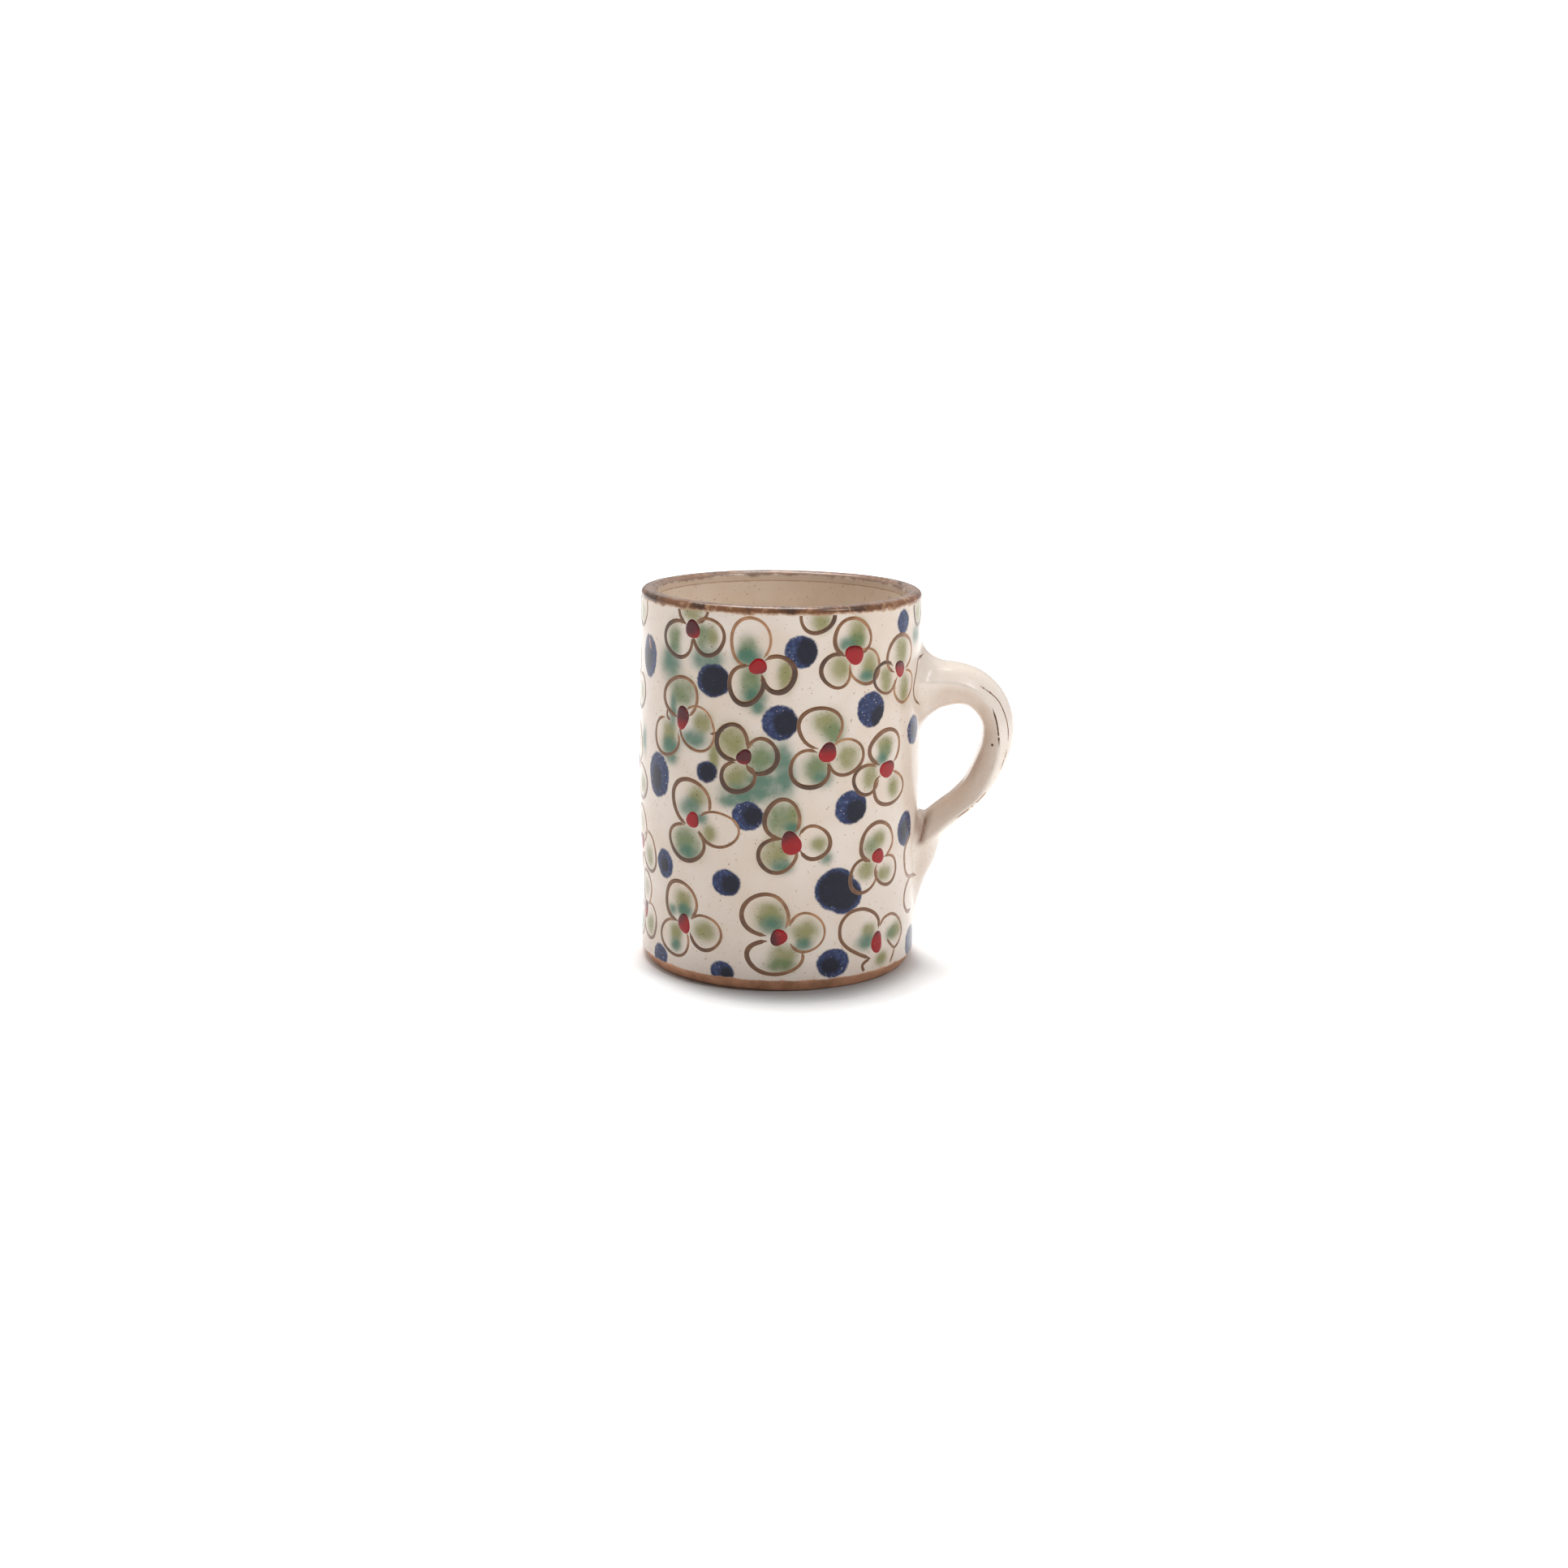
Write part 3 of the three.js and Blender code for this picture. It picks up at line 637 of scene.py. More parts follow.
FLOWERS = [
    ((-25.9, 100.9, 2.4, 2.8, 0.8, 110), [
     (-26, 106.5, 5, 4.5, 0.9, 0.6, 250), (-31.3, 97.7, 5.2, 5.2, 1.1, 0.9, 200),
     (-20.8, 99.3, 5.1, 4.9, 1, 0.7, 280)],
     [("olive", -26, 105.6, 3, 2), ("green", -32.7, 97.5, 2, 3.5), ("green", -22.5, 99.3, 1.8, 3),
      ("olive", -19.5, 99.5, 1.5, 2.5), ("teal", -34.5, 90.5, 3.2, 3.6), ("teal", -21, 93, 4, 2.5)]),
    ((-6.1, 92.1, 2.45, 2.3, 0.1, 300), [
     (-8.3, 98.8, 5.6, 6.4, 0.8, 0.25, 150), (-0.7, 90.2, 4.7, 4.8, 1.3, 0.9, 310),
     (-9.4, 87, 4.8, 5.3, 1.2, 0.9, 260)],
     [("green", -9, 96.5, 2.2, 3), ("teal", -8.8, 94.5, 3.2, 2), ("olive", 1.5, 90, 2, 3.5),
      ("green", -8, 87.2, 2.5, 4), ("teal", -7, 83.5, 2.6, 2.4), ("teal", -6, 81, 1.8, 1.6)]),
    ((21.1, 94.9, 3, 2.75, 0.15, 90), [
     (20.6, 99.5, 5.9, 5.1, 1, 0.5, 210), (24.8, 91.4, 4.9, 5, 0.8, 0.3, 300),
     (15.6, 90.7, 4.3, 4.6, 1, 0.8, 150)],
     [("olive", 21.8, 100.5, 2.2, 3.4), ("green", 22, 98.7, 2, 1.6), ("teal", 18.5, 98, 1.8, 1.6),
      ("olive", 26.2, 91.5, 2, 3), ("teal", 25, 88.5, 2, 1.4), ("olive", 16.5, 91.5, 2.3, 3)]),
    ((38.9, 89.2, 2.5, 2.3, 0.4, 90), [
     (39.2, 93.3, 6.4, 5.2, 1, 0.35, 140), (32.2, 87.4, 4.2, 4.4, 0.9, 0.8, 150),
     (41.4, 84, 5.3, 4.4, 0.75, 0.2, 200)],
     [("olive", 39.5, 94.2, 2.5, 3.2), ("olive", 32.5, 87, 1.8, 3), ("olive", 41.2, 83, 2, 3.2)]),
    ((-29.2, 76, 2.4, 3.3, 0.7, 90), [
     (-30.3, 81.5, 6.4, 5.7, 1.05, 0.5, 180), (-24.2, 73.4, 5.9, 6.1, 0.7, 0.35, 240),
     (-36, 69.6, 5.5, 5.1, 0.9, 0.5, 230, 0.9, 0.4)],
     [("green", -29.2, 83, 3.6, 3.4), ("teal", -33, 77.5, 1.2, 3.4), ("olive", -22.3, 75.5, 2.5, 2.5),
      ("teal", -25, 70.5, 3.5, 2), ("olive", -34.5, 70.5, 2.6, 3.2), ("teal", -34, 67, 3, 2.2),
      ("teal", -33.5, 64.3, 2.2, 1.6)]),
    ((-9.6, 67.05, 2.2, 2.15, 0.9, 90), [
     (-13, 70.8, 4.6, 4.8, 1.15, 0.95, 180), (-4.9, 67.4, 4.3, 4.9, 1.15, 0.85, 310),
     (-11.4, 61.3, 4.6, 4.2, 1.15, 0.9, 250)],
     [("olive", -13.2, 71, 3.6, 3.6), ("green", -4.6, 67.2, 3.2, 3.8), ("olive", -11.4, 61.3, 3.5, 3),
      ("teal", 1, 66.5, 2.2, 4), ("teal", -3.5, 59.5, 4.6, 3.2), ("teal", -9, 56, 5.4, 1.8),
      ("teal", -13.5, 54.5, 2.6, 1.6), ("olive", -18.3, 66.5, 1.3, 4)]),
    ((13.4, 68.3, 2.7, 2.75, 0.4, 90), [
     (11.3, 75.3, 6.4, 5.4, 0.95, 0.6, 140), (18.9, 66.7, 5.3, 5, 0.85, 0.45, 290),
     (8.3, 63.8, 5.3, 5.2, 1.05, 0.75, 260)],
     [("olive", 13, 77, 3.3, 2.5), ("green", 15, 73.5, 2.5, 2.5), ("olive", 19.5, 66.5, 2.8, 3),
      ("green", 10, 64, 3, 3), ("teal", 12, 61, 2.2, 1.8)]),
    ((33.6, 61.5, 3, 2.6, 0.15, 60), [
     (33, 67.6, 6.4, 4.9, 1.1, 0.5, 160), (25.8, 59.6, 4.3, 4.3, 0.95, 0.7, 200),
     (34.8, 56, 6.6, 4.7, 0.9, 0.5, 220)],
     [("olive", 32.7, 69, 2.5, 1.7), ("green", 32.5, 66.5, 2, 1.6), ("teal", 31, 64.5, 1.8, 1.3),
      ("olive", 27, 60.5, 2, 3), ("olive", 36.5, 56, 2, 2.5)]),
    ((-25.2, 47.6, 2.4, 2.2, 0.1, 0), [
     (-26, 52.5, 6.6, 6.4, 1.1, 0.6, 170, 1.1, 0.4), (-17.2, 46, 6.1, 5, 0.8, 0.5, 215),
     (-27.7, 40.8, 6.3, 5.1, 1.1, 0.75, 250)],
     [("olive", -23.5, 54.5, 2.5, 2.5), ("teal", -26, 51, 3, 2.3), ("teal", -22.5, 48.5, 1.8, 1.4),
      ("olive", -19.7, 44.5, 1.8, 2), ("green", -27.5, 41, 4, 3.2), ("teal", -27, 38, 3, 1.6)]),
    ((3.5, 43.1, 2.9, 3.4, 0.3, 110), [
     (1, 50, 4.8, 5.4, 1.1, 0.7, 170), (9.9, 43.2, 4.5, 4.7, 1, 0.6, 310),
     (-0.2, 39.7, 5.2, 4.9, 1.05, 0.75, 190)],
     [("green", 0.5, 50, 3.3, 3.8), ("olive", 4, 50.5, 1.5, 3), ("teal", 3.7, 47.5, 1.6, 1.3),
      ("olive", 11.3, 42.5, 2, 1.8), ("teal", 13.5, 38.5, 1.5, 1.4), ("olive", -0.5, 40, 3.3, 3.3),
      ("teal", 1, 36.5, 2.4, 1.6)]),
    ((30.9, 36.9, 2.3, 2.35, 0.1, 90), [
     (30.6, 41, 6.5, 5.5, 1.1, 0.5, 170), (25.6, 31.9, 4.8, 4.7, 0.95, 0.6, 200),
     (34.6, 32.2, 4.6, 4.3, 0.85, 0.45, 290)],
     [("olive", 30.7, 42, 2.2, 2), ("green", 28, 40, 2, 2), ("olive", 26.5, 33.5, 2.5, 2.2),
      ("olive", 33.5, 31.5, 2.4, 1.8)]),
    ((-28.7, 16.9, 2.2, 3.1, 0.35, 120), [
     (-30.3, 23, 6.3, 5.7, 1.1, 0.6, 190), (-32.9, 12, 5.8, 5.3, 0.9, 0.5, 220),
     (-21.4, 15.5, 5.1, 5.1, 0.9, 0.6, 230)],
     [("olive", -29, 23.5, 2.7, 2.5), ("teal", -28.5, 20.7, 2.4, 1.6), ("teal", -33.5, 20, 1.6, 1.4),
      ("olive", -32, 13.5, 2, 2.5), ("teal", -32, 10, 1.8, 1.5), ("olive", -21.5, 16, 2.8, 2.4)]),
    ((0.4, 16.1, 2.4, 2.5, 0.45, 200), [
     (-3.4, 22.4, 6.4, 6.1, 1.1, 0.6, 170), (8.1, 17.4, 5, 5.8, 0.75, 0.3, 200),
     (-0.7, 10.3, 8, 4.7, 1.1, 0.6, 180, 0.45, 1.1)],
     [("olive", -2, 22.5, 3.6, 3), ("teal", -1.5, 19.5, 2.8, 2), ("olive", 7.8, 17.5, 3, 2.8),
      ("teal", 7.5, 14, 2, 1.4), ("olive", 2, 11, 3, 2.8), ("green", 1, 8, 3.3, 1.6)]),
    ((31.2, 11.6, 2.35, 3.1, 0.1, 90), [],
     [("olive", 27.7, 15.5, 2, 1.8), ("teal", 27, 12.5, 3, 1.8), ("olive", 40.5, 13.5, 2.5, 2),
      ("green", 37.5, 13, 2, 1.5), ("olive", 33.2, 6.4, 1.9, 1.6)]),
    ((-54.5, 35.3, 2.6, 2.6, 0.2, 90), [
     (-54.5, 40.5, 6, 5.5, 1, 0.5, 170), (-47, 34, 5.3, 5.7, 0.9, 0.5, 290), (-60, 31, 5, 5, 0.9, 0.5, 200)],
     [("olive", -54.5, 41.5, 2.4, 2.2), ("olive", -46.5, 32.7, 2.2, 2.4), ("green", -60, 30.5, 2.2, 2.4)]),
    ((-51.8, 15.8, 2.5, 2.5, 0.4, 90), [
     (-51, 22.5, 5.2, 5, 1, 0.5, 170), (-47.3, 13.5, 5.4, 4.9, 0.9, 0.5, 290), (-57.5, 11.5, 5, 5, 0.95, 0.6, 210)],
     [("olive", -51, 23, 2.2, 2), ("olive", -46.5, 12.5, 2.2, 2.2), ("teal", -57, 10.5, 2.2, 1.8)]),
    ((-59.5, 57.5, 2.5, 2.6, 0.4, 90), [
     (-58, 64, 5.6, 5.4, 1, 0.5, 170), (-53.5, 53.5, 5.8, 5.2, 1, 0.6, 290), (-65.5, 54.5, 5, 5, 0.9, 0.5, 200)],
     [("olive", -57.5, 65, 2.4, 2.2), ("olive", -52, 52.7, 2.4, 2.2), ("green", -65.5, 54, 2.2, 2.2)]),
    ((-62, 82, 2.5, 2.6, 0.4, 90), [
     (-55, 79.7, 5.6, 4.8, 1, 0.6, 290), (-62, 88.5, 5.6, 5.4, 1, 0.5, 170), (-68, 78.5, 5, 5, 0.9, 0.5, 200)],
     [("olive", -54.5, 79.5, 2.6, 2.2), ("olive", -62, 89.5, 2.4, 2.2), ("teal", -68, 77, 2.2, 1.8)]),
]
# Single petals at the rim: a petal and the direction it is open to.
LONE_PETALS = [
    ((10, 106, 4.6, 4.8, 1.0, 0.75, 320), 100), ((51.5, 106, 4.5, 6.3, 1.0, 0.75, 200), 90),
    ((-53, 104, 4.5, 5.5, 1.0, 0.7, 220), 90),
]
LONE_WASHES = [
    ("olive", 11, 104.5, 2.4, 2.2), ("olive", 51.5, 103.5, 2.4, 3), ("teal", 49.5, 97.5, 2.5, 2),
    ("olive", -53, 102.5, 2.2, 2.6),
    # The last wash is painted shade in the hollow beside the handle's lower joint.
    ("teal", -50, 66, 1.6, 3), ("teal", 1.5, 61.5, 2.6, 4), ("teal", -7, 57.2, 6.5, 2), ("joint_shade", 55, 41.5, 1.7, 3.4),
]
# Free strokes: points, line width, tone.
STROKES = [
    ([(-35.6, 77.5), (-35.5, 75.4), (-34.1, 74.5)], 0.8, 0.6),
    ([(-19.6, 72.6), (-17.6, 72.9), (-16.6, 73.2)], 0.9, 0.8),
    ([(31.7, 15.8), (31.7, 18.2), (29.6, 20.7), (25.6, 22.4), (21.2, 21.9), (18.4, 19), (18.2, 15), (20.4, 11.9),
      (24.3, 9.4), (28.7, 7.4)], 1.05, 0.5),
    ([(35.6, 11.8), (37.3, 9.9), (39.7, 8.3), (42.4, 9.6), (43.9, 12.6), (41.7, 16.4), (38, 18.6), (34.1, 18.2),
      (32.2, 16.1)], 0.85, 0.35),
    ([(28.7, 7.4), (26.6, 6.6), (25.8, 5.8), (26.1, 4.6), (27, 3.1)], 0.95, 0.5),
    ([(39.7, 8.3), (38.8, 6.2), (37.3, 4)], 0.75, 0.3),
    ([(-46.3, 96.6), (-45.9, 94.5), (-45, 92.5)], 0.9, 0.1),
    ([(58, 90.1), (52.8, 89.5), (51, 86.8), (48.9, 83.9), (48.2, 81.7), (49.1, 79.2), (53.4, 76.6)], 0.8, 0.5),
    ([(48.6, 40), (45.4, 37.4), (44.4, 35.3), (44.6, 31.9), (46, 28.9), (49, 27), (52.8, 26.4), (57, 25.4)], 1.2, 0.35),
    ([(49.8, 26.5), (46.9, 25.1), (45.5, 23), (45.3, 20.6), (46.1, 18.5), (48.3, 16.7), (51.8, 16.5)], 1.2, 0.35),
]
# Fine brown lines on the handle's near side: x and z of their points, y to look for the surface from, line width, tone,
# and how broken they are (-9 for not at all).
HANDLE_LINES = [
    ([(60.6, 75.6), (61.5, 72), (62.1, 68.2), (62.6, 64.4)], -9.3, 0.42, 0.85, -0.7),
    ([(56.7, 80.9), (61.6, 77.9), (63.8, 74.3), (65.3, 69.6), (65.5, 65.8)], -6.8, 0.34, 0.4, -0.6),
    ([(56.4, 81), (58.4, 80.1), (60.2, 79)], -6.8, 0.75, 0.3, 0),
    ([(65.5, 63.2), (64.7, 60.3), (63.7, 57.4)], -7, 0.32, 0.4, -0.4),
    ([(60.3, 52.1), (57.6, 48.7), (54.7, 45.8), (50.6, 42.6)], -7.3, 0.38, 0.2, -0.2),
    ([(59.8, 65.1), (59.9, 64.7), (60, 64.3)], -9, 0.75, 1, -9),
]
# Cobalt dots: s, z, half width, half height; and the darker discs in them.
DOTS = [
    (-46, 90.9, 4.6, 6.1), (-19, 87.4, 5.2, 4.7), (5.6, 96.2, 4.6, 4.6), (0, 76.9, 5, 4.9), (27, 79.2, 5, 5),
    (40.2, 102.2, 3.1, 3.5), (-20.6, 61.9, 3.5, 3.2), (-8.5, 50.5, 4.5, 4.2), (-39.6, 58, 5.3, 6.5),
    (20.8, 52.3, 5.1, 4.9), (48.3, 70.2, 4.6, 4.2), (44, 42.3, 4.5, 5.2), (-36.8, 32.8, 3.8, 4.3),
    (-14.6, 31, 4.4, 3.9), (16.6, 29.2, 6.3, 6.2), (19.2, 27.2, 6, 5.4), (16.1, 7.9, 4.95, 4.3), (-39.5, 5, 3.8, 3.4),
    (-15.8, 5, 3.7, 3), (52.3, 7, 5.3, 4.6),
]
DEEP = [
    (-18.6, 87.4, 4.6, 4.2), (7.2, 96.3, 3, 4), (1.6, 76.8, 3.6, 3.8), (29.7, 76.8, 3, 3.3), (-20.3, 61.9, 3, 2.8),
    (-7.1, 50.7, 2.9, 2.9), (22.4, 51, 3.4, 3.7), (-13.3, 30.7, 2.8, 3), (16.6, 29.2, 5.6, 5.4), (19.2, 27.2, 5, 4.4),
    (15.2, 7.3, 3, 2.6), (-14.3, 4.7, 2, 2), (-47, 90, 2.6, 3.6), (-40.5, 57, 2.8, 3.8), (43.6, 42, 2.6, 3),
    (49, 70, 2.2, 2.2), (-37, 32.4, 2, 2.4),
]
# The back's flowers stand in columns, each second one a little lower; its dots keep between two edges.
BACK_FIRST, BACK_STEP, BACK_DROP = 87, 25.4, 12.8
BACK_ROWS = (108.5, 83, 57.5, 32, 7.5)
BACK_EDGES = (78, 186)


def back_flowers(random):
    """The side that faces away: more of the same flowers, with dots between them."""
    flowers, dots, deep = [], [], []
    sites = [(BACK_FIRST + BACK_STEP * i, z - BACK_DROP * (i % 2)) for i in range(4) for z in BACK_ROWS]
    sites = [site for site in sites if site[1] < 105]
    for site in sites:
        hs, hz = site[0] + random.normal(0, 1.0), site[1] + random.normal(0, 0.8)
        turn = 90 + random.normal(0, 16)
        petals, washes = [], []
        for k in range(3):
            a = np.radians(turn + 120 * k + random.normal(0, 7))
            rx, rz = random.uniform(4.7, 6.2), random.uniform(4.6, 5.8)
            ps, pz = hs + (rx + 0.6) * np.cos(a), hz + (rz + 0.8) * np.sin(a)
            brush = random.uniform(0.85, 1.15), random.uniform(0.3, 0.8), random.uniform(150, 290)
            petals.append((ps, pz, rx, rz, *brush))
            kind = "green" if random.random() < 0.35 else "olive"
            washes.append((kind, ps + 0.5, pz + 0.4, random.uniform(2, 3), random.uniform(2, 3.2)))
            if random.random() < 0.6:
                washes.append(("teal", ps + random.normal(0, 1), pz - 2.6, random.uniform(1.6, 2.8), 1.7))
        size = random.uniform(2.3, 2.9), random.uniform(2.3, 3.0)
        dark = random.uniform(0.1, 0.7), random.uniform(60, 180)
        flowers.append(((hs, hz, *size, *dark), petals, washes))
    drawn = [petal for _, petals, _ in flowers + FLOWERS for petal in petals]
    for s, z in sites:
        for ds, dz in ((s + 9.4, z - BACK_DROP), (s + 16.1, z), (s - 9.4, z - BACK_DROP)):
            room = [outside(petal, ds, dz) for petal in drawn]
            room += [np.hypot(across_seam(ds - d[0]), dz - d[1]) - d[2] - 3 for d in dots]
            size = min(min(room) - 0.4, 4.8)
            if size > 2.6 and BACK_EDGES[0] < ds < BACK_EDGES[1] and 4 < dz < 103 and random.random() < 0.72:
                dots.append((ds, dz, size, size * random.uniform(0.88, 1.1)))
                deep.append((ds + 0.8, dz - 0.4, 0.66 * size, 0.68 * size))
    return flowers, dots, deep


class Ribbons:
    """Strokes of raised colour, gathered into one mesh."""

    def __init__(self):
        self.points, self.faces, self.tone, self.edge = [], [], [], []
        self.size = self.count = 0

    def add(self, centre, outward, width, tone):
        """One stroke along centre, facing outward. Strokes may cross, so their heights differ a little."""
        if len(centre) < 3:
            return
        self.count += 1
        lift = 0.05 + 0.004 * (self.count % 9)
        sideways = np.cross(outward, np.gradient(centre, axis=0))
        sideways /= np.maximum(np.linalg.norm(sideways, axis=1), 1e-6)[:, None]
        # Place across as a share of the half width, height in mm, and the value "edge", which is 0 at the edges.
        for across, high, edge in ((1, -0.03, 0), (0.62, lift, 1), (-0.62, lift, 1), (-1, -0.03, 0)):
            self.points.append(centre + sideways * (0.58 * across * width)[:, None] + outward * high)
            self.tone.append(tone)
            self.edge.append(np.full(len(centre), float(edge)))
        i = np.arange(len(centre) - 1)
        for k in range(3):
            a = self.size + k * len(centre) + i
            b = a + len(centre)
            self.faces.append(np.stack([a, a + 1, b + 1, b], -1))
        self.size += 4 * len(centre)


def tapered(n, reach, least):
    """The share of its width that a stroke has at each of n places, as both its ends taper."""
    return np.clip(np.minimum(np.arange(n), np.arange(n)[::-1]) / reach, least, 1)


def draw(ribbons, s, z, width, tone):
    """Draws a stroke on the wall, and over the handle's roots where it meets them, but not on the rim or the foot."""
    angle = s / RADIUS
    centre = on_wall(s, z)
    outward = np.stack([np.sin(angle), -np.cos(angle), 0 * s], -1)
    near = np.flatnonzero((centre[:, 0] > 26) & (handle_at(centre)[0] < 0))
    if len(near):
        centre[near], outward[near] = settle(centre[near], 12)
    inside = (z < RIM_EDGE - 0.6) & (z > FOOT_EDGE + 0.7)
    breaks = np.flatnonzero(np.diff(inside.astype(int))) + 1
    for part in np.split(np.arange(len(s)), breaks):
        if inside[part[0]]:
            ribbons.add(centre[part], outward[part], width[part], tone[part])


def draw_on_handle(ribbons, places, y, width, tone, broken, random):
    """A line on the near side of the handle, through places in its plane."""
    path = smooth_path(np.array(places, float), 14)
    n = len(path)
    points, outward = settle(np.stack([path[:, 0], np.full(n, y), path[:, 1]], -1), 12)
    shown = drift(random, n, 12) > broken
    w = width * tapered(n, 8, 0.2) * (1 + 0.25 * drift(random, n, 14))
    for part in np.split(np.arange(n), np.flatnonzero(np.diff(shown.astype(int))) + 1):
        if shown[part[0]]:
            ribbons.add(points[part], outward[part], w[part], np.full(len(part), tone))


def drift(random, n, waves):
    """A slow random change along a stroke, about 0, of size about 1."""
    t = np.linspace(0, 1, n)
    out = np.zeros(n)
    for k in range(1, waves + 1):
        size = random.normal(0, 1)
        out += size * np.sin(2 * np.pi * k * t * random.uniform(0.6, 1.2) + random.uniform(0, 6)) / k**0.5
    return out / waves**0.5


def draw_petal(ribbons, petal, open_to, random):
    """A loop of the brush that starts and ends at the side it is open to."""
    ps, pz, rx, rz, width, tone, heavy, *extra = petal
    first, last = extra or random.uniform(0.34, 0.54, 2)
    n = int(2 * np.pi * (rx + rz) / 2 / 0.38)
    turn = np.linspace(np.radians(open_to) + first, np.radians(open_to) + 2 * np.pi - last, n)
    swell = 1 + 0.035 * np.cos(2 * turn + random.uniform(0, 6)) + 0.03 * np.cos(3 * turn + random.uniform(0, 6))
    swell = swell + 0.012 * drift(random, n, 5)
    s, z = ps + rx * swell * np.cos(turn), pz + rz * swell * np.sin(turn)
    load = 0.5 + 0.5 * np.cos(turn - np.radians(heavy))
    w = width * (0.88 + 0.36 * load**1.5) * tapered(n, 4, 0.35) * (1 + 0.09 * drift(random, n, 8))
    t = np.clip(tone * (0.45 + 0.75 * load) + 0.1 * drift(random, n, 6), 0, 1)
    draw(ribbons, s, z, w, t)


def draw_heart(hearts, heart, random):
    """A drop of thick red, a little uneven, darker on one side."""
    hs, hz, rx, rz, share, side = *heart[:5], np.radians(heart[5])
    n, rings = 30, ((1.0, -0.03), (0.93, 0.07), (0.7, 0.11), (0.35, 0.13))
    turn = np.arange(n) / n * 2 * np.pi
    swell = 1 + 0.07 * np.cos(2 * turn + random.uniform(0, 6)) + 0.06 * np.cos(3 * turn + random.uniform(0, 6))
    base = hearts["size"]
    for radius, lift in rings:
        cs, cz = radius * swell * np.cos(turn), radius * swell * np.sin(turn)
        hearts["points"].append(on_wall(hs + rx * cs, hz + rz * cz, lift))
        level = cs * np.cos(side) + cz * np.sin(side)
        hearts["dark"].append(np.clip(0.5 + 0.65 * (level - (1 - 2 * share)), 0, 1))
    hearts["faces"] += (ring_faces(len(rings), n) + base).tolist()
    hearts["faces"].append([base + (len(rings) - 1) * n + k for k in range(n)])
    hearts["size"] += len(rings) * n


def toward(a, b):
    """The direction from one place to another, in degrees."""
    return np.degrees(np.arctan2(b[1] - a[1], b[0] - a[0]))


def across_seam(s):
    """The signed distance round the cup by the shorter way."""
    return (s + ROUND / 2) % ROUND - ROUND / 2


def outside(entry, s, z):
    """The distance in mm outside an oval of s, z, half width and half height."""
    q = np.hypot(across_seam(s - entry[0]) / entry[2], (z - entry[1]) / entry[3])
    return (q - 1) * min(entry[2], entry[3])


def spot(entries, s, z):
    """The distance in mm outside the nearest of these discs, up to 5."""
    return np.minimum(np.min([outside(entry, s, z) for entry in entries], axis=0), 5)


def paint_at(painting, s, z, off=0.0):
    """The washes, as shares, and the dots, as distances outside them, at places that stand off the wall by off mm."""
    washes, dots, deep = painting
    values = {kind: np.zeros(s.shape) for kind in ("olive", "green", "teal", "joint_shade")}
    for kind, ws, wz, rx, rz in washes:
        q = (across_seam(s - ws) / rx) ** 2 + ((z - wz) / rz) ** 2
        values[kind] = np.maximum(values[kind], np.exp(-0.38 * q**1.2) * np.clip(1.5 - off / 2, 0, 1))
    values["dot"] = spot(dots, s, z) + np.maximum(off - 2, 0)
    values["deep"] = spot(deep, s, z) + np.maximum(off - 2, 0)
    return values


def build_painting():
    """Draws the outlines and hearts, and returns the washes, the dots and the darker discs in them."""
    random = np.random.default_rng(7)
    back, back_dots, back_deep = back_flowers(random)
    ribbons = Ribbons()
    hearts = {"points": [], "faces": [], "dark": [], "size": 0}
    washes = list(LONE_WASHES)
    for heart, petals, flower_washes in FLOWERS + back:
        for petal in petals:
            draw_petal(ribbons, petal, toward(petal, heart), random)
        if FOOT_EDGE + heart[3] + 0.6 < heart[1] < RIM_EDGE - heart[3] - 0.6:
            draw_heart(hearts, heart, random)
        washes += flower_washes
    for petal, open_to in LONE_PETALS:
        draw_petal(ribbons, petal, open_to, random)
    for places, width, tone in STROKES:
        path = smooth_path(np.array(places, float), 12)
        n = len(path)
        draw(ribbons, path[:, 0], path[:, 1], width * tapered(n, 5, 0.3), np.full(n, tone))
    for line in HANDLE_LINES:
        draw_on_handle(ribbons, *line, random)
    new_piece(
        "brush_outlines", np.vstack(ribbons.points), np.vstack(ribbons.faces), brush_line(),
        {"tone": np.concatenate(ribbons.tone), "edge": np.concatenate(ribbons.edge)},
    )
    new_piece(
        "red_hearts", np.vstack(hearts["points"]), hearts["faces"], heart_red(),
        {"dark": np.concatenate(hearts["dark"])},
    )
    return washes, DOTS + back_dots, DEEP + back_deep


# ---- Studio, in metres

FLOOR_REACH, FLOOR_LEVEL = 9, -2e-5
# The floor's painted shadow and glow are ovals about this point.
SHADE_CENTRE, SHADE_OVAL = (0.0015, -0.005, 0), (1.1, 1, 1)
# Name, place, size and power in watts.
LAMPS = [("key", (0.68, -0.45, 0.98), 0.35, 4.1), ("top", (-0.1, 0.3, 1.0), 0.6, 9.0)]
LAMPS_AIM = (0, 0, 0.05)
# The camera, as fitted to the photo: it looks down by PITCH and is turned by ROLL, in radians.
EYE, PITCH, ROLL = (0.00135, -0.63415, 0.19583), 0.22505, 0.0131
LENS, SENSOR = 51.25, 36


def vector_node(tree, operation, a, b=(0, 0, 0)):
    node = tree.nodes.new("ShaderNodeVectorMath")
    node.operation = operation
    tree.links.new(a, node.inputs[0])
    node.inputs[1].default_value = b
    return node.outputs["Value" if operation == "LENGTH" else "Vector"]


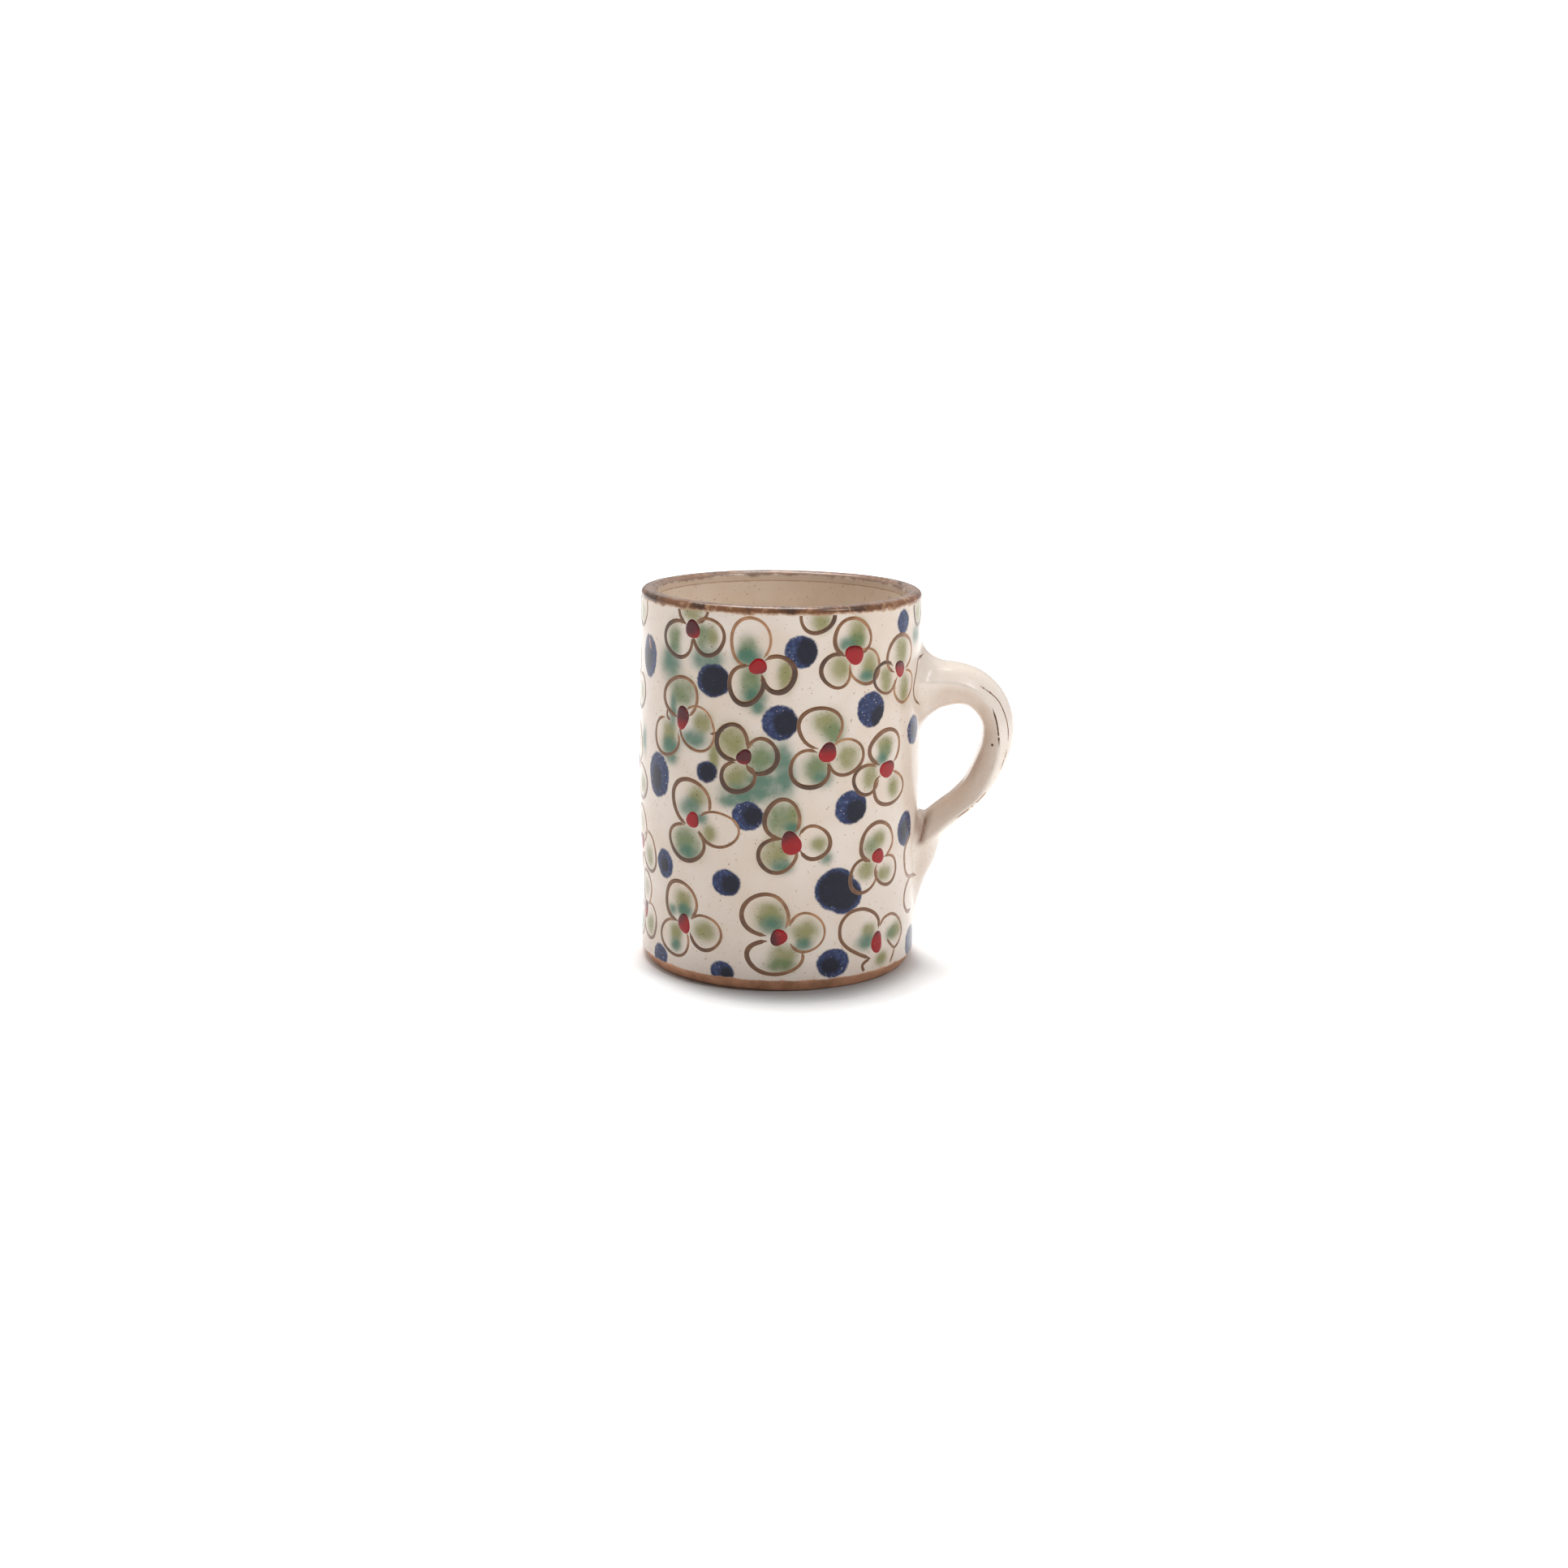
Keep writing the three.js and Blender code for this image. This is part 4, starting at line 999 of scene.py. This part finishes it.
def build_floor(scene):
    """A white floor that glows a little as painted light, but not round the foot, where its colour is also darker as a
    painted shadow over the soft shadow.
    """
    mesh = bpy.data.meshes.new("studio_floor")
    corners = ((-1, -1), (1, -1), (1, 1), (-1, 1))
    mesh.from_pydata([(FLOOR_REACH * x, FLOOR_REACH * y, FLOOR_LEVEL) for x, y in corners], [], [(0, 1, 2, 3)])
    floor = bpy.data.objects.new("studio_floor", mesh)
    scene.collection.objects.link(floor)
    material = bpy.data.materials.new("studio_white")
    material.use_nodes = True
    tree = material.node_tree
    shader = tree.nodes["Principled BSDF"]
    shader.inputs["Roughness"].default_value = 0.9
    shader.inputs["Specular IOR Level"].default_value = 0.1
    shader.inputs["Emission Color"].default_value = (1, 1, 1, 1)
    place = tree.nodes.new("ShaderNodeTexCoord").outputs["Object"]
    place = vector_node(tree, "SUBTRACT", place, SHADE_CENTRE)
    away = vector_node(tree, "LENGTH", vector_node(tree, "MULTIPLY", place, SHADE_OVAL))
    # Painted shadow: the floor's colour darkens in an oval round the foot.
    tree.links.new(ramp_node(tree, away, 0.036, 0.046, 0.45, 0.93, "LINEAR"), shader.inputs["Base Color"])
    # Painted light: the floor glows, less near the foot and more far off.
    glow = tree.nodes.new("ShaderNodeMath")
    tree.links.new(ramp_node(tree, away, 0.0375, 0.058, 0.0, 0.45), glow.inputs[0])
    tree.links.new(ramp_node(tree, away, 0.15, 0.8, 0.0, 0.6, "LINEAR"), glow.inputs[1])
    tree.links.new(glow.outputs[0], shader.inputs["Emission Strength"])
    mesh.materials.append(material)


def build_world(scene):
    """White to the camera, and a dim even light on the mug that is weaker from the front."""
    world = bpy.data.worlds.new("studio")
    scene.world = world
    world.use_nodes = True
    tree = world.node_tree
    split = tree.nodes.new("ShaderNodeSeparateXYZ")
    tree.links.new(tree.nodes.new("ShaderNodeTexCoord").outputs["Generated"], split.inputs[0])
    level = tree.nodes.new("ShaderNodeMix")
    tree.links.new(tree.nodes.new("ShaderNodeLightPath").outputs["Is Camera Ray"], level.inputs["Factor"])
    tree.links.new(ramp_node(tree, split.outputs["Y"], -0.8, 0.2, 0.2, 0.4, "LINEAR"), level.inputs["A"])
    level.inputs["B"].default_value = 1.05
    background = tree.nodes["Background"]
    tree.links.new(level.outputs["Result"], background.inputs["Strength"])
    background.inputs["Color"].default_value = (1, 1, 1, 1)


def build_studio():
    scene = bpy.context.scene
    scene.view_settings.view_transform = "Standard"
    build_floor(scene)
    build_world(scene)
    for name, place, size, power in LAMPS:
        light = bpy.data.lights.new(name, "AREA")
        light.size = size
        light.energy = power
        lamp = bpy.data.objects.new(name, light)
        scene.collection.objects.link(lamp)
        lamp.location = place
        lamp.rotation_mode = "QUATERNION"
        lamp.rotation_quaternion = Vector(np.array(LAMPS_AIM) - np.array(place)).to_track_quat("-Z", "Y")

    camera = bpy.data.cameras.new("camera")
    camera.lens = LENS
    camera.sensor_width = SENSOR
    camera.clip_start = 0.01
    eye = bpy.data.objects.new("camera", camera)
    scene.collection.objects.link(eye)
    turn = Matrix.Rotation(np.pi / 2 - PITCH, 4, "X") @ Matrix.Rotation(ROLL, 4, "Z")
    eye.matrix_world = Matrix.Translation(EYE) @ turn
    scene.camera = eye


painting = build_painting()
build_cup(painting)
build_handle(painting)
build_studio()
